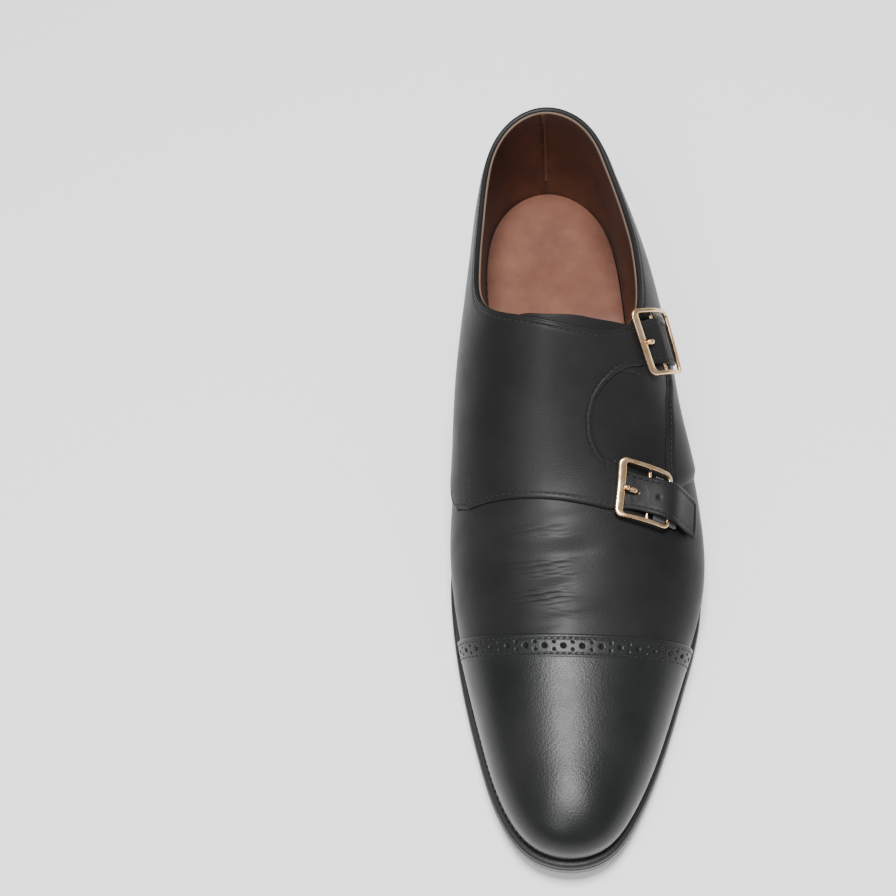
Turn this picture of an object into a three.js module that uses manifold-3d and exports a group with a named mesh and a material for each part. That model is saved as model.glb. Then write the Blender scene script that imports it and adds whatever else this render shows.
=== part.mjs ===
// A men's double monk strap shoe, the wearer's left one, as the pieces that a maker puts together.
// Millimetres. The origin is the centre of the heel's face on the ground, +Z is up, the toe points
// to -Y and the lateral side, with the buckles, is +X. A station s is measured along the shoe from
// the back of the heel, so y = HEEL_BACK - s.
import * as THREE from 'three';
import { mergeVertices } from 'three/addons/utils/BufferGeometryUtils.js';
import Module from 'manifold-3d';

const wasm = await Module();
wasm.setup();

// Driving dimensions
const LENGTH = 302;            // outsole, heel to toe
const BALL_WIDTH = 101;        // outsole, across the ball
const LAST_HEIGHT = 86;        // last above the feather edge at the heel
const HEEL_HEIGHT = 25.5;      // floor to the outsole at the back of the heel
const HEEL_LENGTH = 70;        // heel seat to breast
const HEEL_PITCH = 0.055;      // fall of the heel seat per unit of length
const HEEL_BACK = 35;          // origin to the back of the heel
const HEEL_TAPER = 2;          // inset of the heel at the floor
const TOP_PIECE = 6;           // last lift of the heel
const TOE_SPRING = 11;         // rise of the toe over the floor
const OUTSOLE = 5.5;           // outsole thickness
const WELT = 3;                // welt thickness
const WELT_MARGIN = 4.8;       // welt that shows round the forepart
const INSOLE_RISE = 2.6;       // insole above the feather edge
const WALL = 1.6;              // upper leather with its lining
const LEATHER = 1;             // each leather laid over the upper
const GAP = 0.3;               // clearance between pieces
const EDGE_BREAK = 0.8;        // bevel on sole edges
const STRAP_WIDTH = 16.5;
const FRAME_LENGTH = 22;       // buckle, along its bars
const FRAME_WIDTH = 19.4;      // buckle, along the strap
const FRAME_BAR = 0.85;        // half thickness of the buckle's sides
const FRAME_WIDE_BAR = 1.7;    // half width of the bar next to the instep
const FRAME_ARCH = 1;          // rise of the buckle's sides between its bars
const FRAME_CORNER = 3;        // corner radius of the buckle
const PIVOT_RADIUS = 0.8;
const PRONG_RADIUS = 1;
const ELASTIC = 1;             // elastic keeper thickness
const CAP_SEAM = 223.2;        // station of the toe cap's rear edge

// Outsole outline, heel back to medial ball to toe to lateral ball: along as a share of LENGTH,
// across as a share of BALL_WIDTH (lateral positive), margin as a share of WELT_MARGIN.
const OUTLINE = [
  { along: 0.000, across: 0.000, margin: 0.52 },
  { along: 0.018, across: -0.156, margin: 0.52 },
  { along: 0.068, across: -0.268, margin: 0.52 },
  { along: 0.150, across: -0.312, margin: 0.52 },
  { along: 0.250, across: -0.298, margin: 0.58 },
  { along: 0.355, across: -0.281, margin: 0.62 },
  { along: 0.460, across: -0.339, margin: 0.80 },
  { along: 0.560, across: -0.424, margin: 0.96 },
  { along: 0.650, across: -0.428, margin: 1.00 },
  { along: 0.750, across: -0.388, margin: 1.00 },
  { along: 0.850, across: -0.321, margin: 1.00 },
  { along: 0.935, across: -0.237, margin: 1.00 },
  { along: 0.985, across: -0.124, margin: 1.00 },
  { along: 1.000, across: 0.021, margin: 1.00 },
  { along: 0.987, across: 0.156, margin: 1.00 },
  { along: 0.940, across: 0.268, margin: 1.00 },
  { along: 0.860, across: 0.377, margin: 1.00 },
  { along: 0.760, across: 0.480, margin: 1.00 },
  { along: 0.650, across: 0.567, margin: 1.00 },
  { along: 0.550, across: 0.556, margin: 0.96 },
  { along: 0.450, across: 0.474, margin: 0.80 },
  { along: 0.350, across: 0.398, margin: 0.66 },
  { along: 0.250, across: 0.364, margin: 0.58 },
  { along: 0.150, across: 0.338, margin: 0.52 },
  { along: 0.068, across: 0.274, margin: 0.52 },
  { along: 0.018, across: 0.153, margin: 0.52 },
];

// Sections of the last, one row for each station: height over the feather edge as a share of
// LAST_HEIGHT; ridge offset and the side bulges as shares of BALL_WIDTH; shoulder is where the
// bulge pulls, as a share of the height; crown is the flat top, as a share of the half width.
const SECTIONS = [
  { along: 0.000, height: 1.000, ridge: 0.000, shoulder: 0.570, crown: 0.680, medial: 0.020, lateral: 0.020 },
  { along: 0.100, height: 0.995, ridge: 0.000, shoulder: 0.540, crown: 0.655, medial: 0.040, lateral: 0.060 },
  { along: 0.200, height: 0.985, ridge: 0.004, shoulder: 0.500, crown: 0.630, medial: 0.110, lateral: 0.190 },
  { along: 0.282, height: 0.980, ridge: 0.010, shoulder: 0.480, crown: 0.625, medial: 0.220, lateral: 0.280 },
  { along: 0.358, height: 0.951, ridge: 0.014, shoulder: 0.505, crown: 0.640, medial: 0.300, lateral: 0.310 },
  { along: 0.414, height: 0.870, ridge: 0.012, shoulder: 0.530, crown: 0.665, medial: 0.295, lateral: 0.290 },
  { along: 0.480, height: 0.760, ridge: 0.008, shoulder: 0.545, crown: 0.680, medial: 0.225, lateral: 0.275 },
  { along: 0.546, height: 0.657, ridge: 0.008, shoulder: 0.540, crown: 0.670, medial: 0.150, lateral: 0.235 },
  { along: 0.622, height: 0.570, ridge: 0.008, shoulder: 0.550, crown: 0.660, medial: 0.110, lateral: 0.195 },
  { along: 0.712, height: 0.483, ridge: 0.012, shoulder: 0.570, crown: 0.680, medial: 0.080, lateral: 0.145 },
  { along: 0.811, height: 0.404, ridge: 0.015, shoulder: 0.600, crown: 0.700, medial: 0.050, lateral: 0.110 },
  { along: 0.894, height: 0.334, ridge: 0.019, shoulder: 0.615, crown: 0.720, medial: 0.035, lateral: 0.100 },
  { along: 0.983, height: 0.266, ridge: 0.020, shoulder: 0.615, crown: 0.720, medial: 0.030, lateral: 0.080 },
];

// Collar in the side view: along as a share of LENGTH, up as a share of LAST_HEIGHT over the seat.
const COLLAR = [
  { along: -0.042, up: 0.755 },
  { along: 0.028, up: 0.730 },
  { along: 0.113, up: 0.655 },
  { along: 0.208, up: 0.604 },
  { along: 0.288, up: 0.590 },
  { along: 0.343, up: 0.608 },
  { along: 0.376, up: 0.689 },
  { along: 0.390, up: 0.812 },
  { along: 0.396, up: 0.955 },
  { along: 0.400, up: 1.145 },
];
const COLLAR_SLANT = 0.27;     // how far the lateral side of the collar runs forward, per unit across

// Places on the upper are pairs: along as a share of LENGTH, and round, which runs from -1 at the
// medial feather edge over 0 at the ridge to 1 at the lateral feather edge.
// Monk flap, a row from its medial to its lateral edge; sweep moves the lateral end forward.
const FLAP = [
  { along: 0.113, medial: -0.99, lateral: 0, sweep: 0 },
  { along: 0.2, medial: -0.99, lateral: 0.1, sweep: 0 },
  { along: 0.29, medial: -0.99, lateral: 0.25, sweep: 0 },
  { along: 0.33, medial: -0.99, lateral: 0.38, sweep: 0 },
  { along: 0.36, medial: -0.94, lateral: 0.42, sweep: 0 },
  { along: 0.39, medial: -0.89, lateral: 0.425, sweep: 0 },
  { along: 0.412, medial: -0.85, lateral: 0.42, sweep: 0 },
  { along: 0.42, medial: -0.835, lateral: 0.35, sweep: 0 },
  { along: 0.43, medial: -0.82, lateral: 0.285, sweep: 0 },
  { along: 0.443, medial: -0.8, lateral: 0.229, sweep: 0 },
  { along: 0.46, medial: -0.775, lateral: 0.185, sweep: 0 },
  { along: 0.48, medial: -0.745, lateral: 0.162, sweep: 0 },
  { along: 0.5, medial: -0.715, lateral: 0.16, sweep: 0 },
  { along: 0.515, medial: -0.69, lateral: 0.178, sweep: 0 },
  { along: 0.525, medial: -0.67, lateral: 0.215, sweep: 0 },
  { along: 0.532, medial: -0.65, lateral: 0.26, sweep: 0 },
  { along: 0.548, medial: -0.61, lateral: 0.26, sweep: 0.008 },
  { along: 0.5635, medial: -0.56, lateral: 0.26, sweep: 0.024 },
];
// Lateral quarter, a row from its facing edge to its foot at the feather edge.
const QUARTER = [
  { along: 0.113, round: 0.350, foot: 0.113 },
  { along: 0.200, round: 0.350, foot: 0.200 },
  { along: 0.300, round: 0.360, foot: 0.290 },
  { along: 0.325, round: 0.400, foot: 0.312 },
  { along: 0.342, round: 0.455, foot: 0.328 },
  { along: 0.356, round: 0.530, foot: 0.345 },
  { along: 0.372, round: 0.590, foot: 0.362 },
  { along: 0.393, round: 0.600, foot: 0.375 },
  { along: 0.432, round: 0.555, foot: 0.395 },
  { along: 0.472, round: 0.512, foot: 0.418 },
  { along: 0.503, round: 0.481, foot: 0.436 },
  { along: 0.550, round: 0.470, foot: 0.455 },
];
// Straps, root to frame: the pair of stations where each leaves the flap, and the round there.
const ROOTS = {
  upper: { heel: 0.368, toe: 0.416, round: 0.40 },
  lower: { heel: 0.524, toe: 0.581, round: 0.15 },
};
const CAP_SWEEP = 10;          // how far the cap's seam runs back a whole round from its middle
const CAP_MIDDLE = 0.15;       // round where the cap's seam is furthest forward
const BACK_SEAM = 0.006;       // place where both quarters end at the back

// Buckles: place of the frame's middle, turn of the strap from straight across, and heights over
// the upper of each piece that is stacked there. The strap's height is a table along the strap.
const BUCKLES = {
  upper: {
    along: 0.374, round: 0.50, turn: 22, tail: 12.5, rows: 12, instepBar: 3.0, outerBar: 5.25, pivot: 2.35,
    strap: [[-24, 0.3], [-8, 0.35], [-4, 1.5], [1, 3.75], [9.5, 2.9], [13, 2.9]],
  },
  lower: {
    along: 0.5605, round: 0.344, turn: -8.5, tail: 29, rows: 14, instepBar: 3.0, outerBar: 3.95, pivot: 1.7,
    strap: [[-24, 0.3], [-8, 0.35], [-4, 1.2], [2, 3.0], [9.7, 5.5], [16, 3.7], [23, 1.9], [30, 1.75]],
  },
};
const PIVOT_PLACE = 2;         // pivot bar, from the frame's middle towards the tail
const HOLE_PLACE = -2.6;       // prong hole, from the frame's middle
const STRAP_GATHER = 0.8;      // how much narrower each edge of a strap is where it meets the frame

// Natural cubic spline through rows of numbers.
function spline(xs, rows) {
  const n = xs.length;
  const width = rows[0].length;
  const bends = rows.map(() => new Array(width).fill(0));
  for (let k = 0; k < width; k++) {
    const c = new Array(n).fill(0);
    const d = new Array(n).fill(0);
    for (let i = 1; i < n - 1; i++) {
      const h0 = xs[i] - xs[i - 1];
      const h1 = xs[i + 1] - xs[i];
      const rise = (rows[i + 1][k] - rows[i][k]) / h1 - (rows[i][k] - rows[i - 1][k]) / h0;
      const m = 2 * (h0 + h1) - h0 * c[i - 1];
      c[i] = h1 / m;
      d[i] = (6 * rise - h0 * d[i - 1]) / m;
    }
    for (let i = n - 2; i > 0; i--) bends[i][k] = d[i] - c[i] * bends[i + 1][k];
  }
  return (x) => {
    let i = 0;
    while (i < n - 2 && x > xs[i + 1]) i++;
    const h = xs[i + 1] - xs[i];
    const a = (xs[i + 1] - x) / h;
    const b = (x - xs[i]) / h;
    return rows[i].map((y, k) => a * y + b * rows[i + 1][k]
      + ((a ** 3 - a) * bends[i][k] + (b ** 3 - b) * bends[i + 1][k]) * h * h / 6);
  };
}

// A spline by distance through points, as a function of a share 0 to 1 of its whole run.
function curve(points) {
  const run = [0];
  for (let i = 1; i < points.length; i++) {
    run.push(run[i - 1] + Math.hypot(...points[i].map((c, k) => c - points[i - 1][k])));
  }
  const at = spline(run, points);
  return (share) => at(share * run[run.length - 1]);
}

const lerp = (a, b, t) => a + (b - a) * t;
const clamp01 = (t) => Math.min(1, Math.max(0, t));

// Closed outline of the outsole as dense points, each [station, across, margin].
const WRAP = 4;
const OUTLINE_STEPS = 1200;
function outlinePoints() {
  const base = OUTLINE.map((r) => [r.along * LENGTH, r.across * BALL_WIDTH, r.margin * WELT_MARGIN]);
  const rows = [...base.slice(-WRAP), ...base, ...base.slice(0, WRAP + 1)];
  const run = [0];
  for (let i = 1; i < rows.length; i++) {
    run.push(run[i - 1] + Math.hypot(rows[i][0] - rows[i - 1][0], rows[i][1] - rows[i - 1][1]));
  }
  const at = spline(run, rows);
  const first = run[WRAP];
  const last = run[WRAP + base.length];
  return Array.from({ length: OUTLINE_STEPS }, (_, i) => at(lerp(first, last, i / OUTLINE_STEPS)));
}
const EDGE = outlinePoints();

// The outline moved inwards by its margin times share plus inset, split at heel back and toe tip
// into a medial and a lateral side, each read by station.
function insetSides(share, inset) {
  const n = EDGE.length;
  const pts = EDGE.map(([s, x, margin], i) => {
    const [s0, x0] = EDGE[(i + n - 1) % n];
    const [s1, x1] = EDGE[(i + 1) % n];
    const length = Math.hypot(s1 - s0, x1 - x0);
    const move = margin * share + inset;
    return [s - ((x0 - x1) / length) * -move, x + ((s1 - s0) / length) * move];
  });
  const order = pts.map((p) => p[0]);
  const back = order.indexOf(Math.min(...order));
  const tip = order.indexOf(Math.max(...order));
  const medial = [];
  for (let i = back; i !== tip; i = (i + 1) % n) medial.push(pts[i]);
  medial.push(pts[tip]);
  const lateral = [];
  for (let i = back; i !== tip; i = (i + n - 1) % n) lateral.push(pts[i]);
  lateral.push(pts[tip]);
  return { back: pts[back][0], tip: pts[tip][0], medial, lateral };
}

function across(side, s) {
  let low = 0;
  let high = side.length - 1;
  while (high - low > 1) {
    const mid = (low + high) >> 1;
    if (side[mid][0] <= s) low = mid;
    else high = mid;
  }
  const [s0, x0] = side[low];
  const [s1, x1] = side[high];
  return s1 === s0 ? x0 : lerp(x0, x1, clamp01((s - s0) / (s1 - s0)));
}

const FEATHER = insetSides(1, 0);

// Underside of the outsole: a straight heel seat, a curved waist, a flat forefoot, the toe spring.
const FLAT_START = 0.57 * LENGTH;
const FLAT_END = 0.662 * LENGTH;
const WAIST_FALL = -0.13;
const SPRING_POWER = 2.2;
function underside(s) {
  if (s < HEEL_LENGTH) return HEEL_HEIGHT + 0.5 - HEEL_PITCH * s;
  if (s < FLAT_START) {
    const run = FLAT_START - HEEL_LENGTH;
    const t = (s - HEEL_LENGTH) / run;
    const start = HEEL_HEIGHT + 0.5 - HEEL_PITCH * HEEL_LENGTH;
    return (2 * t ** 3 - 3 * t ** 2 + 1) * start + (t ** 3 - 2 * t ** 2 + t) * WAIST_FALL * run;
  }
  return TOE_SPRING * Math.max(0, (s - FLAT_END) / (LENGTH - FLAT_END)) ** SPRING_POWER;
}
const FEATHER_RISE = OUTSOLE + WELT + 2 * GAP;
const feather = (s) => underside(s) + FEATHER_RISE;

const sectionAt = spline(
  SECTIONS.map((r) => r.along * LENGTH),
  SECTIONS.map((r) => [
    r.height * LAST_HEIGHT, r.ridge * BALL_WIDTH, r.shoulder, r.crown,
    r.medial * BALL_WIDTH, r.lateral * BALL_WIDTH,
  ]),
);

// Columns of the last run from the feather edge to the ridge. Round the heel they all meet at
// HEEL_POLE, along the shoe they stand square to it, and round the toe their tops slide forward
// to TOE_POLE. A column's place is 0 to 1 round the heel, 1 to 2 along, 2 to 3 round the toe.
const HEEL_POLE = 34;
const TOE_START = 0.768 * LENGTH;
const TOE_POLE_BACK = 27;
const TOE_POLE = FEATHER.tip - TOE_POLE_BACK;
const TOE_EASE = (FEATHER.tip - TOE_START) / (TOE_POLE - TOE_START) - 1;
function columnAt(place) {
  if (place <= 1) {
    const foot = FEATHER.back + (HEEL_POLE - FEATHER.back) * (1 - Math.cos(place * Math.PI / 2));
    return { foot, top: HEEL_POLE };
  }
  if (place <= 2) {
    const s = lerp(HEEL_POLE, TOE_START, place - 1);
    return { foot: s, top: s };
  }
  const q = Math.sin(Math.min(1, place - 2) * Math.PI / 2);
  return {
    foot: lerp(TOE_START, FEATHER.tip, q),
    top: TOE_START + (TOE_POLE - TOE_START) * q * (1 + TOE_EASE * (1 - q)),
  };
}
const placeOf = (s) => 1 + (s - HEEL_POLE) / (TOE_START - HEEL_POLE);

// A point of the last's outer surface: a cubic curve from the feather edge up over the shoulder.
function lastPoint(place, round) {
  const { foot, top } = columnAt(place);
  const isLateral = round > 0;
  const xMedial = across(FEATHER.medial, foot);
  const xLateral = across(FEATHER.lateral, foot);
  const [height, ridge, shoulder, crown, medial, lateral] = sectionAt(top);
  const slope = sectionAt(top + 0.5)[0] - sectionAt(top - 0.5)[0];
  const dx = (isLateral ? xLateral : xMedial) - ridge;
  const ds = foot - top;
  const reach = Math.hypot(dx, ds);
  const half = (Math.hypot(xMedial - ridge, ds) + Math.hypot(xLateral - ridge, ds)) / 2;
  const flat = crown * half;
  const even = Math.max(1 - place, clamp01(place - 2));
  const bulge = lerp(isLateral ? lateral : medial, (lateral + medial) / 2, clamp01(even));
  const t = 1 - Math.abs(round);
  const b0 = (1 - t) ** 3;
  const b1 = 3 * (1 - t) ** 2 * t;
  const b2 = 3 * (1 - t) * t ** 2;
  const b3 = t ** 3;
  const out = b0 * reach + b1 * (reach + bulge) + b2 * flat;
  const up = b1 * shoulder * height + b2 * (height + slope * (ds / reach) * flat) + b3 * height;
  const s = top + (ds / reach) * out;
  return new THREE.Vector3(ridge + (dx / reach) * out, HEEL_BACK - s, feather(s) + up);
}

const NUDGE = 1e-3;
function sideNormal(place, round) {
  const ahead = lastPoint(Math.min(3, place + NUDGE), round);
  const behind = lastPoint(Math.max(0, place - NUDGE), round);
  const over = lastPoint(place, Math.min(1, round + NUDGE));
  const under = lastPoint(place, Math.max(-1, round - NUDGE));
  return ahead.sub(behind).cross(over.sub(under)).normalize();
}

// Both sides meet at the back of the heel and at the toe tip, so there they share one normal.
function lastNormal(place, round) {
  if (place < 1 + NUDGE && round === 0) return new THREE.Vector3(0, 0, 1);
  const normal = sideNormal(place, round);
  if (place < NUDGE || place > 3 - NUDGE) normal.add(sideNormal(place, -round));
  if (Math.abs(round) === 1) normal.z = 0;
  return normal.normalize();
}
const lifted = (place, round, lift) => lastPoint(place, round)
  .addScaledVector(lastNormal(place, round), lift);

// Meshes
function toSolid(geometry) {
  const bare = geometry.index ? geometry.toNonIndexed() : geometry.clone();
  bare.deleteAttribute('normal');
  bare.deleteAttribute('uv');
  const merged = mergeVertices(bare, 1e-4);
  const index = merged.index.array;
  const kept = [];
  for (let i = 0; i < index.length; i += 3) {
    const [a, b, c] = [index[i], index[i + 1], index[i + 2]];
    if (a !== b && b !== c && a !== c) kept.push(a, b, c);
  }
  return new wasm.Manifold(new wasm.Mesh({
    numProp: 3,
    vertProperties: Float32Array.from(merged.attributes.position.array),
    triVerts: Uint32Array.from(kept),
  }));
}

function toGeometry(solid) {
  const mesh = solid.getMesh();
  const geometry = new THREE.BufferGeometry();
  const points = [];
  for (let i = 0; i < mesh.vertProperties.length; i += mesh.numProp) {
    points.push(mesh.vertProperties[i], mesh.vertProperties[i + 1], mesh.vertProperties[i + 2]);
  }
  geometry.setAttribute('position', new THREE.Float32BufferAttribute(points, 3));
  geometry.setIndex(Array.from(mesh.triVerts));
  return geometry;
}

function fromTriangles(triangles) {
  const geometry = new THREE.BufferGeometry();
  const points = triangles.flat().flatMap((p) => [p.x, p.y, p.z]);
  geometry.setAttribute('position', new THREE.Float32BufferAttribute(points, 3));
  return geometry;
}

// A sheet of quads over the last, each corner { place, round, low, high }, made a solid between
// its low and high lifts, with a wall on every free edge.
function thicken(quads) {
  const key = (p) => `${p.x.toFixed(4)},${p.y.toFixed(4)},${p.z.toFixed(4)}`;
  const corner = (n) => {
    const low = lifted(n.place, n.round, n.low);
    return { low, high: lifted(n.place, n.round, n.high), id: key(low) };
  };
  const triangles = [];
  const edges = new Map();
  for (const quad of quads) {
    const [a, b, c, d] = quad.map(corner);
    for (const tri of [[a, b, c], [a, c, d]]) {
      const [p, q, r] = tri;
      if (p.id === q.id || q.id === r.id || p.id === r.id) continue;
      triangles.push([p.high, q.high, r.high], [p.low, r.low, q.low]);
      for (const [from, to] of [[p, q], [q, r], [r, p]]) {
        const back = `${to.id}|${from.id}`;
        if (edges.has(back)) edges.delete(back);
        else edges.set(`${from.id}|${to.id}`, [from, to]);
      }
    }
  }
  for (const [from, to] of edges.values()) {
    triangles.push([from.low, to.low, to.high], [from.low, to.high, from.high]);
  }
  return fromTriangles(triangles);
}

// Quads between neighbouring rows of corners.
function quadsOf(rows) {
  const quads = [];
  for (let i = 0; i + 1 < rows.length; i++) {
    for (let j = 0; j + 1 < rows[i].length; j++) {
      quads.push([rows[i][j], rows[i + 1][j], rows[i + 1][j + 1], rows[i][j + 1]]);
    }
  }
  return quads;
}

const steps = (from, to, count) => Array.from({ length: count + 1 }, (_, i) => lerp(from, to, i / count));

const HEEL_COLUMNS = 6;
const ALONG_COLUMNS = 23;
const TOE_COLUMNS = 8;
const ROUND_ROWS = 12;
const COLUMNS = [
  ...steps(0, 1, HEEL_COLUMNS).slice(0, -1),
  ...steps(1, 2, ALONG_COLUMNS).slice(0, -1),
  ...steps(2, 3, TOE_COLUMNS),
];

// The whole wall of the upper: both sides from the feather edge to the ridge.
function upperShell() {
  const rows = COLUMNS.map((place) => steps(-1, 1, 2 * ROUND_ROWS)
    .map((round) => ({ place, round, low: -WALL, high: 0 })));
  return toSolid(thicken(quadsOf(rows)));
}

// Everything above the collar line, as a ruled block slanted across the shoe.
const COLLAR_STEPS = 24;
function collarCutter() {
  const seat = feather(0);
  const line = curve(COLLAR.map((r) => [r.along * LENGTH, seat + r.up * LAST_HEIGHT]));
  const points = steps(0, 1, COLLAR_STEPS).map((t) => line(t));
  const top = seat + 2 * LAST_HEIGHT;
  const shape = new THREE.Shape([
    ...points.map(([s, z]) => new THREE.Vector2(HEEL_BACK - s, z)),
    new THREE.Vector2(HEEL_BACK - points[points.length - 1][0], top),
    new THREE.Vector2(HEEL_BACK - points[0][0], top),
  ]);
  const block = new THREE.ExtrudeGeometry(shape, { depth: 2 * BALL_WIDTH, bevelEnabled: false });
  block.applyMatrix4(new THREE.Matrix4().set(
    0, 0, 1, -BALL_WIDTH,
    1, 0, -COLLAR_SLANT, COLLAR_SLANT * BALL_WIDTH,
    0, 1, 0, 0,
    0, 0, 0, 1,
  ));
  return toSolid(block);
}

// Overlays are cut from one sheet of leather over the whole last. Each mask is a block that stands
// through the sheet inside the overlay's edges.
const SHEET = toSolid(thicken(quadsOf(COLUMNS.map((place) => steps(-1, 1, 2 * ROUND_ROWS)
  .map((round) => ({ place, round, low: GAP, high: GAP + LEATHER }))))));
const MASK_DEPTH = 3;
const MASK_RISE = 6;
function cutFromSheet(rows) {
  const mask = rows.map((row) => row.map((n) => ({ ...n, low: -MASK_DEPTH, high: MASK_RISE })));
  return SHEET.intersect(toSolid(thicken(quadsOf(mask))));
}

const FOOT = 0.99;             // round where overlays end over the feather edge
const MASK_ROWS = 10;
const capSeam = (round) => CAP_SEAM - CAP_SWEEP * (round - CAP_MIDDLE) ** 2;
function toeCap() {
  return cutFromSheet(steps(0, 1, TOE_COLUMNS).map((t) => steps(-FOOT, FOOT, 2 * MASK_ROWS)
    .map((round) => ({ place: lerp(placeOf(capSeam(round)), 3, t), round }))));
}

// A flat chart round a buckle: a runs along the strap to its tail, b along the bars to the toe.
function chartAt({ along, round, turn }) {
  const place = placeOf(along * LENGTH);
  const step = 0.01;
  const perPlace = lastPoint(place + step, round).distanceTo(lastPoint(place - step, round)) / (2 * step);
  const perRound = lastPoint(place, round + step).distanceTo(lastPoint(place, round - step)) / (2 * step);
  const angle = THREE.MathUtils.degToRad(turn);
  const [c, k] = [Math.cos(angle), Math.sin(angle)];
  const spot = (a, b) => ({
    place: place + (b * c - a * k) / perPlace,
    round: round + (a * c + b * k) / perRound,
  });
  const reach = (n) => (n.round - round) * perRound * c - (n.place - place) * perPlace * k;
  const point = (a, b, lift) => {
    const n = spot(a, b);
    return lifted(n.place, n.round, lift);
  };
  return { spot, reach, point };
}

const CHARTS = { upper: chartAt(BUCKLES.upper), lower: chartAt(BUCKLES.lower) };

function ramp(table, x) {
  let i = 0;
  while (i < table.length - 2 && x > table[i + 1][0]) i++;
  const t = clamp01((x - table[i][0]) / (table[i + 1][0] - table[i][0]));
  return lerp(table[i][1], table[i + 1][1], t * t * (3 - 2 * t));
}

// One strap from its root in the flap to its tail.
const STRAP_COLUMNS = 5;
function strapSolid(name) {
  const chart = CHARTS[name];
  const { strap, tail, rows } = BUCKLES[name];
  const { heel, toe, round } = ROOTS[name];
  const edge = (station, side) => curve([
    [placeOf(station * LENGTH), round],
    ...[[-FRAME_WIDTH / 4, STRAP_GATHER], [tail / 2, 0], [tail, 0]]
      .map(([a, gather]) => chart.spot(a, side * (STRAP_WIDTH / 2 - gather)))
      .map((n) => [n.place, n.round]),
  ]);
  const heelEdge = edge(heel, -1);
  const toeEdge = edge(toe, 1);
  const sheet = steps(0, 1, rows).map((t) => steps(0, 1, STRAP_COLUMNS).map((share) => {
    const node = {
      place: lerp(heelEdge(t)[0], toeEdge(t)[0], share),
      round: lerp(heelEdge(t)[1], toeEdge(t)[1], share),
    };
    const low = ramp(strap, chart.reach(node));
    return { ...node, low, high: low + LEATHER };
  }));
  return toSolid(thicken(quadsOf(sheet).map(([a, b, c, d]) => [a, d, c, b])));
}

// The medial quarter, the flap over the instep and both straps, all one leather.
function monkFlap() {
  const heelRows = steps(BACK_SEAM, 1, 4).slice(0, -1)
    .map((place) => steps(-FOOT, 0, MASK_ROWS).map((round) => ({ place, round })));
  const flapRows = FLAP.map((row) => steps(0, 1, MASK_ROWS).map((t) => ({
    place: placeOf((row.along + row.sweep * t ** 2) * LENGTH),
    round: lerp(row.medial, row.lateral, t),
  })));
  return cutFromSheet([...heelRows, ...flapRows]).add(strapSolid('upper')).add(strapSolid('lower'));
}

// The lateral quarter: heel to its facing edge, which runs under both straps.
const OVER_COLLAR = 0.35;
function lateralQuarter() {
  const heelRows = steps(BACK_SEAM, 1, 4).slice(0, -1)
    .map((place) => steps(OVER_COLLAR, FOOT, MASK_ROWS).map((round) => ({ place, round })));
  const sideRows = QUARTER.map((row) => steps(0, 1, MASK_ROWS).map((t) => ({
    place: placeOf(lerp(row.along, row.foot, t) * LENGTH),
    round: lerp(row.round, FOOT, t),
  })));
  return cutFromSheet([...heelRows, ...sideRows]);
}

// Layers of the sole: a loft along the shoe between a medial and a lateral side. Each layer is
// { sides, up, front }, where up gives its height at a station.
const SOLE_STEPS = 28;
const outer = insetSides(0, 0);
function slab(layers) {
  const stationOf = (layer, t) => {
    const front = layer.front ?? layer.sides.tip;
    const eased = layer.front ? 1 - Math.cos(t * Math.PI / 2) : (1 - Math.cos(t * Math.PI)) / 2;
    return lerp(layer.sides.back, front, eased);
  };
  const ring = (t) => {
    const corner = (layer, side) => {
      const s = stationOf(layer, t);
      return new THREE.Vector3(across(layer.sides[side], s), HEEL_BACK - s, layer.up(s));
    };
    const left = layers.map((layer) => corner(layer, 'medial'));
    const right = layers.map((layer) => corner(layer, 'lateral')).reverse();
    return [...left, ...right];
  };
  const breast = Math.acos(1 - 2 * (HEEL_LENGTH - outer.back) / (outer.tip - outer.back)) / Math.PI;
  const shares = steps(0, 1, SOLE_STEPS);
  if (!layers[0].front) shares[shares.findIndex((t) => t > breast)] = breast;
  const rings = shares.map(ring);
  const triangles = [];
  const n = rings[0].length;
  for (let i = 0; i + 1 < rings.length; i++) {
    for (let j = 0; j < n; j++) {
      const k = (j + 1) % n;
      const [a, b, c, d] = [rings[i][j], rings[i][k], rings[i + 1][k], rings[i + 1][j]];
      triangles.push([a, c, b], [a, d, c]);
    }
  }
  for (let j = 1; j < layers.length; j++) {
    const ends = [rings[0], rings[rings.length - 1]];
    ends.forEach((r, e) => {
      const [a, b, c, d] = [r[j - 1], r[j], r[n - 1 - j], r[n - j]];
      if (e === 0) triangles.push([a, b, c], [a, c, d]);
      else triangles.push([a, c, b], [a, d, c]);
    });
  }
  return toSolid(fromTriangles(triangles));
}

const broken = insetSides(0, EDGE_BREAK);

function outsole() {
  return slab([
    { sides: broken, up: (s) => underside(s) },
    { sides: outer, up: (s) => underside(s) + EDGE_BREAK },
    { sides: outer, up: (s) => underside(s) + OUTSOLE - EDGE_BREAK / 2 },
    { sides: insetSides(0, EDGE_BREAK / 2), up: (s) => underside(s) + OUTSOLE },
  ]);
}

function welt() {
  const low = OUTSOLE + GAP;
  const body = slab([
    { sides: insetSides(0, EDGE_BREAK / 2), up: (s) => underside(s) + low },
    { sides: insetSides(0, EDGE_BREAK / 4), up: (s) => underside(s) + low + WELT / 2 },
    { sides: broken, up: (s) => underside(s) + low + WELT },
  ]);
  const inside = insetSides(1, WALL);
  const hole = slab([
    { sides: inside, up: (s) => underside(s) + low - WELT },
    { sides: inside, up: (s) => underside(s) + low + 2 * WELT },
  ]);
  return body.subtract(hole);
}

function insole() {
  const sides = insetSides(1, WALL + GAP);
  return slab([
    { sides, up: (s) => underside(s) + OUTSOLE + GAP },
    { sides, up: (s) => feather(s) + INSOLE_RISE - EDGE_BREAK },
    { sides: insetSides(1, WALL + GAP + EDGE_BREAK), up: (s) => feather(s) + INSOLE_RISE },
  ]);
}

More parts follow.
